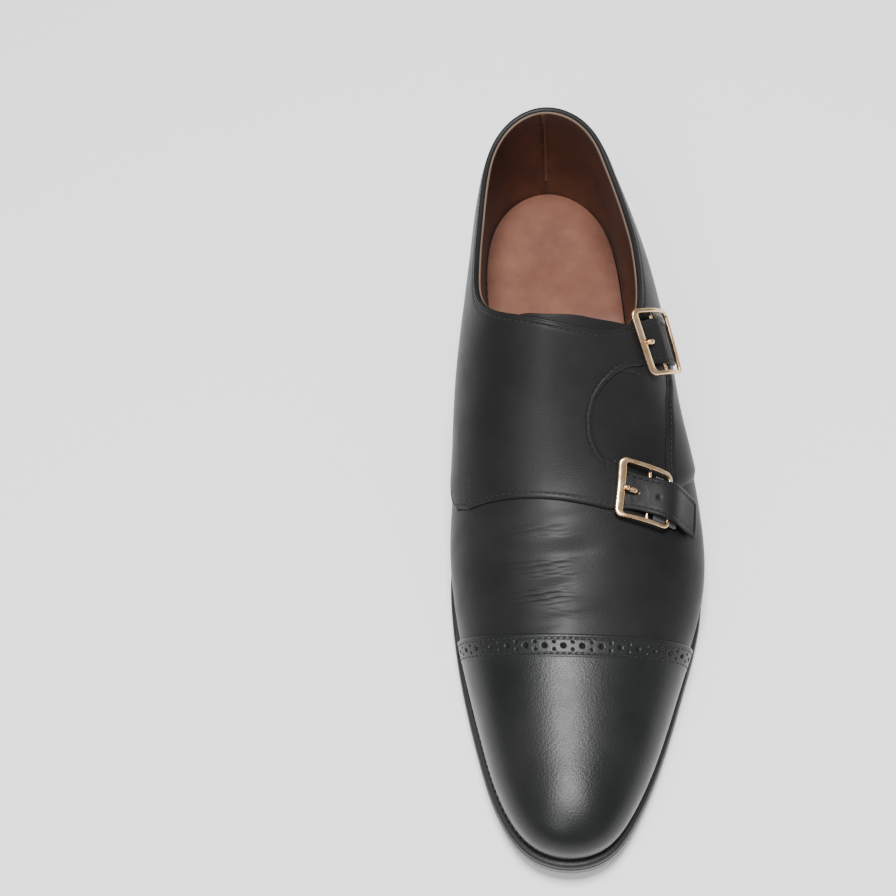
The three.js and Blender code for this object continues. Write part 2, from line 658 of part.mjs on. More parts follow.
function heelStack() {
  const foot = insetSides(0, HEEL_TAPER * 0.8);
  const top = insetSides(0, HEEL_TAPER / 4);
  return slab([
    { sides: foot, up: () => TOP_PIECE + GAP, front: HEEL_LENGTH - HEEL_TAPER },
    { sides: top, up: (s) => underside(s) - GAP, front: HEEL_LENGTH },
  ]);
}

function heelTopPiece() {
  const foot = insetSides(0, HEEL_TAPER);
  return slab([
    { sides: insetSides(0, HEEL_TAPER + EDGE_BREAK / 2), up: () => 0, front: HEEL_LENGTH - HEEL_TAPER * 1.5 },
    { sides: foot, up: () => EDGE_BREAK / 2, front: HEEL_LENGTH - HEEL_TAPER * 1.3 },
    { sides: insetSides(0, HEEL_TAPER * 0.85), up: () => TOP_PIECE, front: HEEL_LENGTH - HEEL_TAPER },
  ]);
}

// A rod through points with a round or oval section; across is its half width in the tangent
// plane of the shoe, over its half height, and normals give that plane at each point.
function rod(points, normals, acrossRadii, overRadii, sides, isClosed) {
  const n = points.length;
  const rings = points.map((p, i) => {
    const ahead = points[isClosed ? (i + 1) % n : Math.min(n - 1, i + 1)];
    const behind = points[isClosed ? (i + n - 1) % n : Math.max(0, i - 1)];
    const along = ahead.clone().sub(behind).normalize();
    const over = normals[i].clone().addScaledVector(along, -normals[i].dot(along)).normalize();
    const side = along.clone().cross(over);
    return steps(0, 2 * Math.PI, sides).slice(0, -1).map((angle) => p.clone()
      .addScaledVector(side, Math.cos(angle) * acrossRadii[i])
      .addScaledVector(over, Math.sin(angle) * overRadii[i]));
  });
  const triangles = [];
  for (let i = 0; i < (isClosed ? n : n - 1); i++) {
    const next = rings[(i + 1) % n];
    for (let j = 0; j < sides; j++) {
      const k = (j + 1) % sides;
      triangles.push([rings[i][j], next[k], rings[i][k]], [rings[i][j], next[j], next[k]]);
    }
  }
  if (!isClosed) {
    for (let j = 0; j < sides; j++) {
      const k = (j + 1) % sides;
      triangles.push([points[0], rings[0][j], rings[0][k]]);
      triangles.push([points[n - 1], rings[n - 1][k], rings[n - 1][j]]);
    }
  }
  return toSolid(fromTriangles(triangles));
}

// Buckle frame: a rounded rectangle that follows the upper, wide on the bar next to the instep and
// arched between its bars.
const CORNER_STEPS = 3;
const SIDE_STEPS = 4;
function frameSolid(name) {
  const chart = CHARTS[name];
  const { instepBar, outerBar } = BUCKLES[name];
  const [halfA, halfB] = [FRAME_WIDTH / 2 - FRAME_CORNER, FRAME_LENGTH / 2 - FRAME_CORNER];
  const path = [];
  const corners = [[halfA, halfB, 0], [-halfA, halfB, 1], [-halfA, -halfB, 2], [halfA, -halfB, 3]];
  corners.forEach(([a, b, quarter], i) => {
    for (const t of steps(0, 1, CORNER_STEPS)) {
      const angle = (quarter + t) * Math.PI / 2;
      path.push([a + FRAME_CORNER * Math.cos(angle), b + FRAME_CORNER * Math.sin(angle)]);
    }
    const [a1, b1] = corners[(i + 1) % 4];
    const angle = (quarter + 1) * Math.PI / 2;
    for (const t of steps(0, 1, SIDE_STEPS).slice(1, -1)) {
      path.push([
        lerp(a, a1, t) + FRAME_CORNER * Math.cos(angle),
        lerp(b, b1, t) + FRAME_CORNER * Math.sin(angle),
      ]);
    }
  });
  const lift = (a) => lerp(instepBar, outerBar, clamp01(0.5 + a / FRAME_WIDTH))
    + FRAME_ARCH * clamp01(1 - (2 * a / FRAME_WIDTH) ** 2);
  const points = path.map(([a, b]) => chart.point(a, b, lift(a)));
  const normals = path.map(([a, b]) => chart.point(a, b, lift(a) + 1).sub(chart.point(a, b, lift(a))));
  const wide = path.map(([a]) => lerp(FRAME_BAR, FRAME_WIDE_BAR, clamp01((-a - halfA) / FRAME_CORNER)));
  return rod(points, normals, wide, path.map(() => FRAME_BAR), 8, true);
}

// Pivot bar across the frame, with the prong bent up through the strap to the instep bar.
function prongSolid(name) {
  const chart = CHARTS[name];
  const { pivot, instepBar, strap } = BUCKLES[name];
  const reach = FRAME_LENGTH / 2 - 2 * FRAME_BAR + FRAME_BAR - GAP;
  const barStations = steps(-reach, reach, 4);
  const normalAt = (a, b) => chart.point(a, b, 1).sub(chart.point(a, b, 0));
  const bar = rod(
    barStations.map((b) => chart.point(PIVOT_PLACE, b, pivot)),
    barStations.map((b) => normalAt(PIVOT_PLACE, b)),
    barStations.map(() => PIVOT_RADIUS), barStations.map(() => PIVOT_RADIUS), 8, false,
  );
  const top = (a) => ramp(strap, a) + LEATHER + PRONG_RADIUS + GAP;
  const tip = -FRAME_WIDTH / 2 + FRAME_WIDE_BAR / 2;
  const rest = instepBar + FRAME_BAR + PRONG_RADIUS + GAP;
  const line = [
    [PIVOT_PLACE, pivot],
    [HOLE_PLACE + 1.2, lerp(pivot, top(HOLE_PLACE), 0.35)],
    [HOLE_PLACE - 0.2, lerp(pivot, top(HOLE_PLACE), 0.9)],
    [HOLE_PLACE - 1.8, top(HOLE_PLACE - 1.8)],
    [lerp(HOLE_PLACE - 1.8, tip, 0.5), lerp(top(HOLE_PLACE - 1.8), rest, 0.6)],
    [tip, rest],
  ];
  const prong = rod(
    line.map(([a, h]) => chart.point(a, 0, h)),
    line.map(([a]) => normalAt(a, 0)),
    line.map((_, i) => (i === line.length - 1 ? 0.7 : 1) * PRONG_RADIUS),
    line.map((_, i) => (i === line.length - 1 ? 0.7 : 1) * PRONG_RADIUS * 0.8), 8, false,
  );
  return bar.add(prong);
}

// Slot in the strap for the prong, long along the strap.
const SLOT_HALF = 3;
function prongSlot(name) {
  const chart = CHARTS[name];
  const middle = HOLE_PLACE + PRONG_RADIUS;
  const points = [-MASK_DEPTH, 2 * MASK_RISE].map((h) => chart.point(middle, 0, h));
  const side = chart.point(middle, 1, 0).sub(chart.point(middle, 0, 0));
  const width = PRONG_RADIUS + 2 * GAP;
  return rod(points, [side, side], [SLOT_HALF, SLOT_HALF], [width, width], 12, false);
}

// Elastic keeper sewn to the quarter under the strap's tail.
const KEEPER = { upper: [4.6, 13.5, -12.5, 7.5, 1.6], lower: [4.8, 15, -9, 9, 1.6] };
function keeperSolid(name) {
  const chart = CHARTS[name];
  const [a0, a1, b0, b1, low] = KEEPER[name];
  const rows = steps(b0, b1, 5).map((b) => steps(a0, a1, 3).map((a) => {
    const n = chart.spot(a, b);
    return { ...n, low, high: low + ELASTIC };
  }));
  return toSolid(thicken(quadsOf(rows)));
}

// Materials by leather, rubber, elastic and plated metal.
function finish(color, roughness, metalness) {
  return new THREE.MeshStandardMaterial({ color, roughness, metalness });
}
const blackCalf = () => finish(0x262626, 0.35, 0);
const soleLeather = () => finish(0x1d1b1a, 0.6, 0);
const brownLeather = () => finish(0x9a6a55, 0.7, 0);
const goldPlate = () => finish(0xd9b074, 0.2, 1);

const shoe = new THREE.Group();
function addPiece(name, solid, material) {
  const mesh = new THREE.Mesh(toGeometry(solid), material);
  mesh.name = name;
  shoe.add(mesh);
}

const cutter = collarCutter();
const flap = monkFlap().subtract(cutter).subtract(prongSlot('upper')).subtract(prongSlot('lower'));
addPiece('outsole', outsole(), soleLeather());
addPiece('welt', welt(), soleLeather());
addPiece('heel_stack', heelStack(), soleLeather());
addPiece('heel_top_piece', heelTopPiece(), finish(0x141414, 0.8, 0));
addPiece('insole', insole(), brownLeather());
addPiece('upper', upperShell().subtract(cutter), blackCalf());
addPiece('toe_cap', toeCap(), blackCalf());
addPiece('monk_flap', flap, blackCalf());
addPiece('lateral_quarter', lateralQuarter().subtract(cutter), blackCalf());
for (const name of ['upper', 'lower']) {
  addPiece(`${name}_buckle_frame`, frameSolid(name), goldPlate());
  addPiece(`${name}_buckle_prong`, prongSolid(name), goldPlate());
  addPiece(`${name}_elastic_keeper`, keeperSolid(name), finish(0x2b2a28, 0.95, 0));
}

export default shoe;
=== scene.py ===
"""Looks of the double monk strap shoe: leathers, seams, punched holes, creases and plated buckles.

Lengths are millimetres until a mesh is made. A station s is measured along the shoe from the back of
the heel, so y = HEEL_BACK - s, and a place on the upper is a column (0 to 3) and a round (-1 at the
medial feather edge, 0 at the ridge, 1 at the lateral feather edge).
"""

import math

import bpy
import numpy as np
from mathutils import Matrix, Vector


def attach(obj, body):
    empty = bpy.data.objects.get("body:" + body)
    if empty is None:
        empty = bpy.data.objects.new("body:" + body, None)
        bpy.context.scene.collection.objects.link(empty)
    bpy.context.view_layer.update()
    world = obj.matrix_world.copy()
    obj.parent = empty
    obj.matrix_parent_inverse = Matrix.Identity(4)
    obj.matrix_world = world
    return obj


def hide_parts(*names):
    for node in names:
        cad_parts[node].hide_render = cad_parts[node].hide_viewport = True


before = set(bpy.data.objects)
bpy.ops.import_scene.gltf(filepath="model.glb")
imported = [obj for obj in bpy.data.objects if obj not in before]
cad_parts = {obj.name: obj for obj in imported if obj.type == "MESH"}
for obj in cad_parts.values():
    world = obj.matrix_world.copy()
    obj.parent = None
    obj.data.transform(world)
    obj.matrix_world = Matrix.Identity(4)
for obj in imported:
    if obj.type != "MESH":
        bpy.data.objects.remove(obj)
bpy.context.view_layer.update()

# Sizes of the shoe
LENGTH = 302.0
BALL_WIDTH = 101.0
LAST_HEIGHT = 86.0
HEEL_HEIGHT = 25.5
HEEL_LENGTH = 70.0
HEEL_PITCH = 0.055
HEEL_BACK = 35.0
HEEL_TAPER = 2.0
TOP_PIECE = 6.0
TOE_SPRING = 11.0
OUTSOLE = 5.5
WELT = 3.0
WELT_MARGIN = 4.8
INSOLE_RISE = 2.6
WALL = 1.6
LEATHER = 1.0
GAP = 0.3
EDGE_BREAK = 0.8
STRAP_WIDTH = 16.5
FRAME_LENGTH = 22.0
FRAME_WIDTH = 19.4
FRAME_BAR = 0.85
FRAME_WIDE_BAR = 1.7
FRAME_ARCH = 1.0
FRAME_CORNER = 2.2
PIVOT_RADIUS = 0.8
PRONG_RADIUS = 1.15
ELASTIC = 1.0
CAP_SEAM = 223.2
CAP_SWEEP = 10.0
CAP_MIDDLE = 0.15
OVERLAY = GAP + LEATHER
FOOT_ROUND = 0.99              # round where overlays end over the feather edge
BACK_SEAM = 0.006              # column where both overlays end at the back

# Outsole outline: share of LENGTH, share of BALL_WIDTH, welt margin as a share of WELT_MARGIN
OUTLINE = np.array([
    (0.000, 0.000, 0.52), (0.018, -0.156, 0.52), (0.068, -0.268, 0.52), (0.150, -0.312, 0.52),
    (0.250, -0.298, 0.58), (0.355, -0.281, 0.62), (0.460, -0.339, 0.80), (0.560, -0.424, 0.96),
    (0.650, -0.428, 1.00), (0.750, -0.388, 1.00), (0.850, -0.321, 1.00), (0.935, -0.237, 1.00),
    (0.985, -0.124, 1.00), (1.000, 0.021, 1.00), (0.987, 0.156, 1.00), (0.940, 0.268, 1.00),
    (0.860, 0.377, 1.00), (0.760, 0.480, 1.00), (0.650, 0.567, 1.00), (0.550, 0.556, 0.96),
    (0.450, 0.474, 0.80), (0.350, 0.398, 0.66), (0.250, 0.364, 0.58), (0.150, 0.338, 0.52),
    (0.068, 0.274, 0.52), (0.018, 0.153, 0.52),
])
# Sections of the last: along, height, ridge, shoulder, crown, medial bulge, lateral bulge
SECTIONS = np.array([
    (0.000, 1.000, 0.000, 0.570, 0.680, 0.020, 0.020), (0.100, 0.995, 0.000, 0.540, 0.655, 0.040, 0.060),
    (0.200, 0.985, 0.004, 0.500, 0.630, 0.110, 0.190), (0.282, 0.980, 0.010, 0.480, 0.625, 0.220, 0.280),
    (0.358, 0.951, 0.014, 0.505, 0.640, 0.300, 0.310), (0.414, 0.870, 0.012, 0.530, 0.665, 0.295, 0.290),
    (0.480, 0.760, 0.008, 0.545, 0.680, 0.225, 0.275), (0.546, 0.657, 0.008, 0.540, 0.670, 0.150, 0.235),
    (0.622, 0.570, 0.008, 0.550, 0.660, 0.110, 0.195), (0.712, 0.483, 0.012, 0.570, 0.680, 0.080, 0.145),
    (0.811, 0.404, 0.015, 0.600, 0.700, 0.050, 0.110), (0.894, 0.334, 0.019, 0.615, 0.720, 0.035, 0.100),
    (0.983, 0.266, 0.020, 0.615, 0.720, 0.030, 0.080),
])
# Collar in the side view: along, height over the heel seat as a share of LAST_HEIGHT
COLLAR = np.array([
    (-0.042, 0.755), (0.028, 0.730), (0.113, 0.655), (0.208, 0.604), (0.288, 0.590), (0.343, 0.608),
    (0.376, 0.689), (0.390, 0.812), (0.396, 0.955), (0.400, 1.145),
])
COLLAR_SLANT = 0.27
THROAT_ROUND = 0.15
# Edges of the flap: station, then round, as shares
MEDIAL_EDGE = np.array([
    (0.290, -0.990), (0.330, -0.990), (0.360, -0.940), (0.390, -0.890), (0.420, -0.835), (0.460, -0.775),
    (0.500, -0.715), (0.532, -0.650), (0.548, -0.610), (0.5635, -0.560),
])
CUT_OUT = np.array([
    (0.4115, 0.400), (0.4165, 0.352), (0.4285, 0.285), (0.4430, 0.229), (0.4600, 0.185), (0.4800, 0.162),
    (0.5000, 0.160), (0.5150, 0.178), (0.5235, 0.200),
])
FLAP_FRONT = 0.5635
FRONT_ROUND = 0.26
# How far the flap's lateral end runs forward at a station, as shares of LENGTH
SWEEP = np.array([(0.532, 0.0), (0.548, 0.008), (0.5635, 0.024)])
# Lateral quarter: facing edge station and round, then the foot's station at the feather edge
QUARTER = np.array([
    (0.300, 0.360, 0.290), (0.325, 0.400, 0.312), (0.342, 0.455, 0.328), (0.356, 0.530, 0.345),
    (0.372, 0.590, 0.362), (0.393, 0.600, 0.375), (0.432, 0.555, 0.395), (0.472, 0.512, 0.418),
    (0.503, 0.481, 0.436), (0.550, 0.470, 0.455),
])
# Straps: the stations of both edges at the root, as shares, and the root's round
ROOTS = {"upper": (0.368, 0.4115, 0.40), "lower": (0.5235, 0.5841, 0.20)}
BUCKLES = {
    "upper": {
        "along": 0.374, "round": 0.50, "turn": 22, "tail": 12.5,
        "instep_bar": 3.0, "outer_bar": 5.25, "pivot": 2.35,
        "strap": ((-24, 0.3), (-8, 0.35), (-4, 1.5), (1, 3.75), (9.5, 2.9), (13, 2.9)),
    },
    "lower": {
        "along": 0.5605, "round": 0.344, "turn": -8.5, "tail": 27,
        "instep_bar": 3.0, "outer_bar": 3.95, "pivot": 1.7,
        "strap": ((-24, 0.3), (-8, 0.35), (-4, 1.2), (2, 3.0), (9.7, 5.5), (16, 3.7), (23, 1.9), (30, 1.75)),
    },
}
PIVOT_PLACE = 2.0
HOLE_PLACE = -4.6
STRAP_GATHER = 0.8


def lerp(a, b, t):
    return a + (b - a) * t


def smooth(t):
    """Smoothstep: 0 below 0, 1 above 1, t*t*(3 - 2t) between."""
    t = np.clip(t, 0, 1)
    return t * t * (3 - 2 * t)


def bell(x, width):
    """Gauss curve of height 1, its width the distance to 1/e."""
    return np.exp(-(np.asarray(x) / width) ** 2)


def spline(xs, ys):
    """Natural cubic spline through rows ys at xs, solved as one linear system for the bends."""
    xs = np.asarray(xs, float)
    ys = np.asarray(ys, float)
    n = len(xs)
    h = np.diff(xs)
    system = np.eye(n)
    right = np.zeros(ys.shape)
    rise = np.diff(ys, axis=0) / h.reshape((-1,) + (1,) * (ys.ndim - 1))
    inner = np.arange(1, n - 1)
    system[inner, inner - 1] = h[:-1]
    system[inner, inner] = 2 * (h[:-1] + h[1:])
    system[inner, inner + 1] = h[1:]
    right[1:-1] = 6 * np.diff(rise, axis=0)
    bends = np.linalg.solve(system, right)

    def at(x):
        x = np.asarray(x, float)
        i = np.clip(np.searchsorted(xs, x) - 1, 0, n - 2)
        step = h[i]
        a = (xs[i + 1] - x) / step
        b = (x - xs[i]) / step
        if ys.ndim > 1:
            a, b, step = a[..., None], b[..., None], step[..., None]
        return a * ys[i] + b * ys[i + 1] + ((a**3 - a) * bends[i] + (b**3 - b) * bends[i + 1]) * step**2 / 6

    return at


def run_length(points, axis=0):
    """Distance run along points, starting at 0."""
    steps = np.linalg.norm(np.diff(points, axis=axis), axis=-1)
    return np.concatenate([np.zeros_like(steps.take([0], axis)), np.cumsum(steps, axis)], axis)


def curve(points):
    """Spline by chord length, read by its share of the whole run."""
    run = run_length(np.asarray(points, float))
    at = spline(run, points)
    return lambda share: at(np.asarray(share) * run[-1])


def outline_points(wrap=4, count=1200):
    """Closed spline through the outline's rows, read at even steps of its run."""
    base = OUTLINE * (LENGTH, BALL_WIDTH, WELT_MARGIN)
    rows = np.vstack([base[-wrap:], base, base[:wrap + 1]])
    run = run_length(rows[:, :2])
    return spline(run, rows)(np.linspace(run[wrap], run[wrap + len(base)], count, endpoint=False))


EDGE = outline_points()


def inset_loop(share, inset):
    """The outline moved inwards by its welt margin times share, plus inset."""
    along = np.roll(EDGE[:, :2], -1, 0) - np.roll(EDGE[:, :2], 1, 0)
    along /= np.linalg.norm(along, axis=1)[:, None]
    inwards = np.stack([-along[:, 1], along[:, 0]], 1)
    return EDGE[:, :2] + inwards * (EDGE[:, 2:3] * share + inset)


def inset_sides(share, inset):
    """The inset outline as a medial and a lateral side, each read by station."""
    loop = inset_loop(share, inset)
    back, tip = np.argmin(loop[:, 0]), np.argmax(loop[:, 0])
    n = len(loop)
    first = loop[np.arange(back, back + (tip - back) % n + 1) % n]
    second = loop[np.arange(tip, tip + (back - tip) % n + 1) % n][::-1]
    medial, lateral = (first, second) if first[:, 1].mean() < second[:, 1].mean() else (second, first)
    return {"back": loop[back, 0], "tip": loop[tip, 0], "medial": medial, "lateral": lateral}


def across(side, s):
    return np.interp(s, side[:, 0], side[:, 1])


FEATHER = inset_sides(1, 0)
FLAT_START = 0.57 * LENGTH
FLAT_END = 0.662 * LENGTH
WAIST_FALL = -0.13
SPRING_POWER = 2.2


def underside(s):
    """Straight heel seat, a cubic waist down to a flat forefoot, then a power curve up to the toe."""
    s = np.asarray(s, float)
    seat = HEEL_HEIGHT + 0.5 - HEEL_PITCH * s
    run = FLAT_START - HEEL_LENGTH
    t = np.clip((s - HEEL_LENGTH) / run, 0, 1)
    start = HEEL_HEIGHT + 0.5 - HEEL_PITCH * HEEL_LENGTH
    waist = (2 * t**3 - 3 * t**2 + 1) * start + (t**3 - 2 * t**2 + t) * WAIST_FALL * run
    toe = TOE_SPRING * np.clip((s - FLAT_END) / (LENGTH - FLAT_END), 0, 2) ** SPRING_POWER
    return np.where(s < HEEL_LENGTH, seat, np.where(s < FLAT_START, waist, toe))


FEATHER_RISE = OUTSOLE + WELT + 2 * GAP


def feather(s):
    return underside(s) + FEATHER_RISE


SECTION_AT = spline(
    SECTIONS[:, 0] * LENGTH,
    SECTIONS[:, 1:] * (LAST_HEIGHT, BALL_WIDTH, 1, 1, BALL_WIDTH, BALL_WIDTH),
)
HEEL_POLE = 34.0
TOE_START = 0.768 * LENGTH
TOE_POLE = FEATHER["tip"] - 27
TOE_EASE = (FEATHER["tip"] - TOE_START) / (TOE_POLE - TOE_START) - 1


def column_at(place):
    """Feather station and top station of a column: a fan at the heel, straight, a fan at the toe."""
    heel = FEATHER["back"] + (HEEL_POLE - FEATHER["back"]) * (1 - np.cos(np.clip(place, 0, 1) * np.pi / 2))
    straight = lerp(HEEL_POLE, TOE_START, np.clip(place - 1, 0, 1))
    q = np.sin(np.clip(place - 2, 0, 1) * np.pi / 2)
    foot = np.where(place <= 1, heel, np.where(place <= 2, straight, lerp(TOE_START, FEATHER["tip"], q)))
    toe_top = TOE_START + (TOE_POLE - TOE_START) * q * (1 + TOE_EASE * (1 - q))
    top = np.where(place <= 1, HEEL_POLE, np.where(place <= 2, straight, toe_top))
    return foot, top


def place_of(s):
    return 1 + (np.asarray(s, float) - HEEL_POLE) / (TOE_START - HEEL_POLE)


def last_point(place, turn):
    """Outer surface of the last: a cubic curve from the feather edge over the shoulder to the ridge."""
    place, turn = np.broadcast_arrays(np.asarray(place, float), np.asarray(turn, float))
    foot, top = column_at(place)
    is_lateral = turn > 0
    x_medial = across(FEATHER["medial"], foot)
    x_lateral = across(FEATHER["lateral"], foot)
    height, ridge, shoulder, crown, medial, lateral = np.moveaxis(SECTION_AT(top), -1, 0)
    slope = SECTION_AT(top + 0.5)[..., 0] - SECTION_AT(top - 0.5)[..., 0]
    dx = np.where(is_lateral, x_lateral, x_medial) - ridge
    ds = foot - top
    reach = np.hypot(dx, ds)
    flat = crown * (np.hypot(x_medial - ridge, ds) + np.hypot(x_lateral - ridge, ds)) / 2
    even = np.clip(np.maximum(1 - place, place - 2), 0, 1)
    bulge = lerp(np.where(is_lateral, lateral, medial), (lateral + medial) / 2, even)
    t = 1 - np.abs(turn)
    b0, b1, b2, b3 = (1 - t) ** 3, 3 * (1 - t) ** 2 * t, 3 * (1 - t) * t**2, t**3
    out = b0 * reach + b1 * (reach + bulge) + b2 * flat
    up = b1 * shoulder * height + b2 * (height + slope * (ds / reach) * flat) + b3 * height
    s = top + (ds / reach) * out
    return np.stack([ridge + (dx / reach) * out, HEEL_BACK - s, feather(s) + up], -1)


def unit(v):
    return v / np.maximum(np.linalg.norm(v, axis=-1, keepdims=True), 1e-9)


def side_normal(place, turn, nudge=1e-3):
    ahead = last_point(np.minimum(3, place + nudge), turn) - last_point(np.maximum(0, place - nudge), turn)
    over = last_point(place, np.minimum(1, turn + nudge)) - last_point(place, np.maximum(-1, turn - nudge))
    return unit(np.cross(ahead, over))


def last_normal(place, turn):
    """Outward normal; both sides share one at the heel's back and the toe's tip."""
    place, turn = np.broadcast_arrays(np.asarray(place, float), np.asarray(turn, float))
    normal = side_normal(place, turn)
    ends = (place < 1e-3) | (place > 3 - 1e-3)
    normal = np.where(ends[..., None], normal + side_normal(place, -turn), normal)
    normal[..., 2] = np.where(np.abs(turn) > 1 - 1e-9, 0, normal[..., 2])
    normal = np.where(((place < 1 + 1e-3) & (turn == 0))[..., None], (0.0, 0.0, 1.0), normal)
    return unit(normal)


def lifted(place, turn, lift):
    return last_point(place, turn) + last_normal(place, turn) * np.asarray(lift)[..., None]


def collar_height(s):
    """Height of the collar line at a station."""
    seat = feather(0.0)
    rows = np.stack([COLLAR[:, 0] * LENGTH, seat + COLLAR[:, 1] * LAST_HEIGHT], 1)
    line = curve(rows)(np.linspace(0, 1, 400))
    return np.interp(s, line[:, 0], line[:, 1])


def over_collar(place, turn):
    p = last_point(place, turn)
    return p[..., 2] - collar_height(HEEL_BACK - p[..., 1] - COLLAR_SLANT * p[..., 0])


def throat_place():
    """Where the collar line is furthest forward, by halving."""
    low, high = float(place_of(90)), float(place_of(130))
    for _ in range(40):
        mid = (low + high) / 2
        low, high = (mid, high) if over_collar(mid, THROAT_ROUND) > 0 else (low, mid)
    return high


THROAT = throat_place()


def collar_round(place, side, middle=0.0):
    """Round at which a column crosses the collar line on one side, by halving; past the throat, the
    round where both sides meet, eased from the throat's to middle."""
    place = np.asarray(place, float)
    low, high = np.full_like(place, THROAT_ROUND), np.full_like(place, float(side))
    for _ in range(40):
        mid = (low + high) / 2
        is_over = over_collar(place, mid) > 0
        low, high = np.where(is_over, mid, low), np.where(is_over, high, mid)
    return np.where(place < THROAT, high, lerp(THROAT_ROUND, middle, smooth((place - THROAT) / 0.15)))


def collar_places(spacing):
    """Columns from the heel's back to the throat, at even steps along the collar's edge."""
    dense = np.concatenate([
        np.linspace(0, 1, 200)[:-1],
        THROAT - (THROAT - 1) * np.linspace(1, 0, 900) ** 3,
    ])
    run = run_length(last_point(dense, collar_round(dense, -1)))
    return np.interp(np.linspace(0, run[-1], int(run[-1] / spacing) + 1), run, dense)


def rear_columns(spacing, end):
    """Columns of an overlay from the back seam to a station share."""
    places = collar_places(spacing)
    inside = (places > 2 * BACK_SEAM) & (places < place_of(end * LENGTH) - 1e-4)
    return np.concatenate([[BACK_SEAM], places[inside]])


# Meshes
# Point attribute, 1 in punched holes, where the materials paint shade.
SHADE = "shade"


def new_object(name, points, faces, material, shade=None):
    """A piece from points in millimetres, faces and one or more materials, riding on the shoe."""
    mesh = bpy.data.meshes.new(name)
    mesh.from_pydata((np.asarray(points) * 0.001).tolist(), [], [list(map(int, f)) for f in faces])
    mesh.validate()
    for m in material if isinstance(material, (list, tuple)) else [material]:
        mesh.materials.append(m)
    if shade is not None:
        mesh.attributes.new(SHADE, "FLOAT", "POINT").data.foreach_set("value", np.asarray(shade, np.float32))
    mesh.polygons.foreach_set("use_smooth", np.full(len(mesh.polygons), True))
    piece = bpy.data.objects.new(name, mesh)
    bpy.context.scene.collection.objects.link(piece)
    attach(piece, "root")
    return piece


def dress(piece, node):
    """The piece stands for a node of the part, whose own mesh is hidden."""
    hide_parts(node)
    return piece


def grid_faces(rows, columns, close_rows=False, close_columns=False):
    """Quads of a grid of points numbered row by row."""
    number = np.arange(rows * columns).reshape(rows, columns)
    if close_rows:
        number = np.vstack([number, number[:1]])
    if close_columns:
        number = np.hstack([number, number[:, :1]])
    return np.stack([number[:-1, :-1], number[1:, :-1], number[1:, 1:], number[:-1, 1:]], -1).reshape(-1, 4)


def drop_flat(faces):
    """Quads with a doubled corner become triangles, and thinner ones go."""
    out = []
    same = faces == np.roll(faces, -1, 1)
    for face, doubled in zip(faces, same):
        if not doubled.any():
            out.append(face)
        elif doubled.sum() == 1:
            out.append(face[~doubled])
    return out


def joined(points, faces):
    """Joins points that meet: the first of each, the whole quads, and what is left of the flat ones."""
    _, first, index = np.unique(np.round(points, 3), axis=0, return_index=True, return_inverse=True)
    quads = index.ravel()[faces]
    doubled = (quads == np.roll(quads, -1, 1)).sum(1)
    return first, quads[doubled == 0], drop_flat(quads[doubled > 0])


def sheet(name, blocks, material):
    """A closed leather from blocks of (place, round, low lift, high lift, shade) grids: the blocks are
    joined where their points meet, doubled in thickness, and walled along every free edge."""
    lows, highs, faces, shades, start = [], [], [], [], 0
    for place, turn, low, high, shade in blocks:
        place, turn, low, high, shade = np.broadcast_arrays(place, turn, low, high, shade)
        lows.append(lifted(place, turn, low).reshape(-1, 3))
        highs.append(lifted(place, turn, high).reshape(-1, 3))
        shades.append(shade.ravel())
        faces.append(grid_faces(*place.shape) + start)
        start += place.size
    low, high, shade = np.vstack(lows), np.vstack(highs), np.concatenate(shades)
    first, whole, flat = joined(low, np.vstack(faces))
    low, high, shade = low[first], high[first], shade[first]
    edges = [np.stack([whole, np.roll(whole, -1, 1)], -1).reshape(-1, 2)]
    edges += [np.stack([f, np.roll(f, -1)], -1) for f in flat]
    edges = np.vstack(edges)
    n = len(low)
    free = edges[~np.isin(edges @ (n, 1), edges @ (1, n))]
    walls = np.stack([free[:, 0], free[:, 1], free[:, 1] + n, free[:, 0] + n], 1)
    all_faces = (whole + n).tolist() + [list(f + n) for f in flat]
    all_faces += whole[:, ::-1].tolist() + [list(f[::-1]) for f in flat] + walls.tolist()
    return new_object(name, np.vstack([low, high]), all_faces, material, np.concatenate([shade * 0, shade]))


def sweep(name, points, side, up, profile, material, is_closed=True):
    """A tube: profile pairs (or one set of pairs for each point) carried along points on two axes."""
    profile = np.asarray(profile, float)
    if profile.ndim == 2:
        profile = np.broadcast_to(profile, (len(points),) + profile.shape)
    body = points[:, None] + profile[..., :1] * side[:, None] + profile[..., 1:] * up[:, None]
    n, m = body.shape[:2]
    faces = grid_faces(n, m, close_rows=is_closed, close_columns=True).tolist()
    if not is_closed:
        faces += [list(range(m)), list(range((n - 1) * m, n * m))[::-1]]
    return new_object(name, body.reshape(-1, 3), faces, material)


def row_shares(lengths, near, far, spacing):
    """Shares along rows of given lengths: fine steps near both ends, in millimetres, coarse between."""
    lengths = np.asarray(lengths, float)[:, None]
    near, far = np.asarray(near, float), np.asarray(far, float)
    room = np.minimum(1, lengths / (3 * (near[-1] + far[-1] + 1e-9)))
    first = near * room / lengths
    last = 1 - far[::-1] * room / lengths
    count = max(2, int((lengths.max() - near[-1] - far[-1]) / spacing))
    middle = lerp(first[:, -1:], last[:, :1], np.linspace(0, 1, count + 1)[1:-1])
    return np.hstack([first, middle, last])


FINE = np.array([0, 0.08, 0.22, 0.42, 0.8, 1.25, 1.6, 1.85, 2.05, 2.3, 2.7, 3.4])
PLAIN = np.array([0, 0.6])


def row_lengths(place, start, end, count=24):
    """Length over the last of rows that run straight from one place to another."""
    t = np.linspace(0, 1, count)
    rows = last_point(lerp(place[0][:, None], place[1][:, None], t), lerp(start[:, None], end[:, None], t))
    return run_length(rows, axis=1)[:, -1]


SEAM_INSET = 2.0
CUT_RADIUS = 0.42


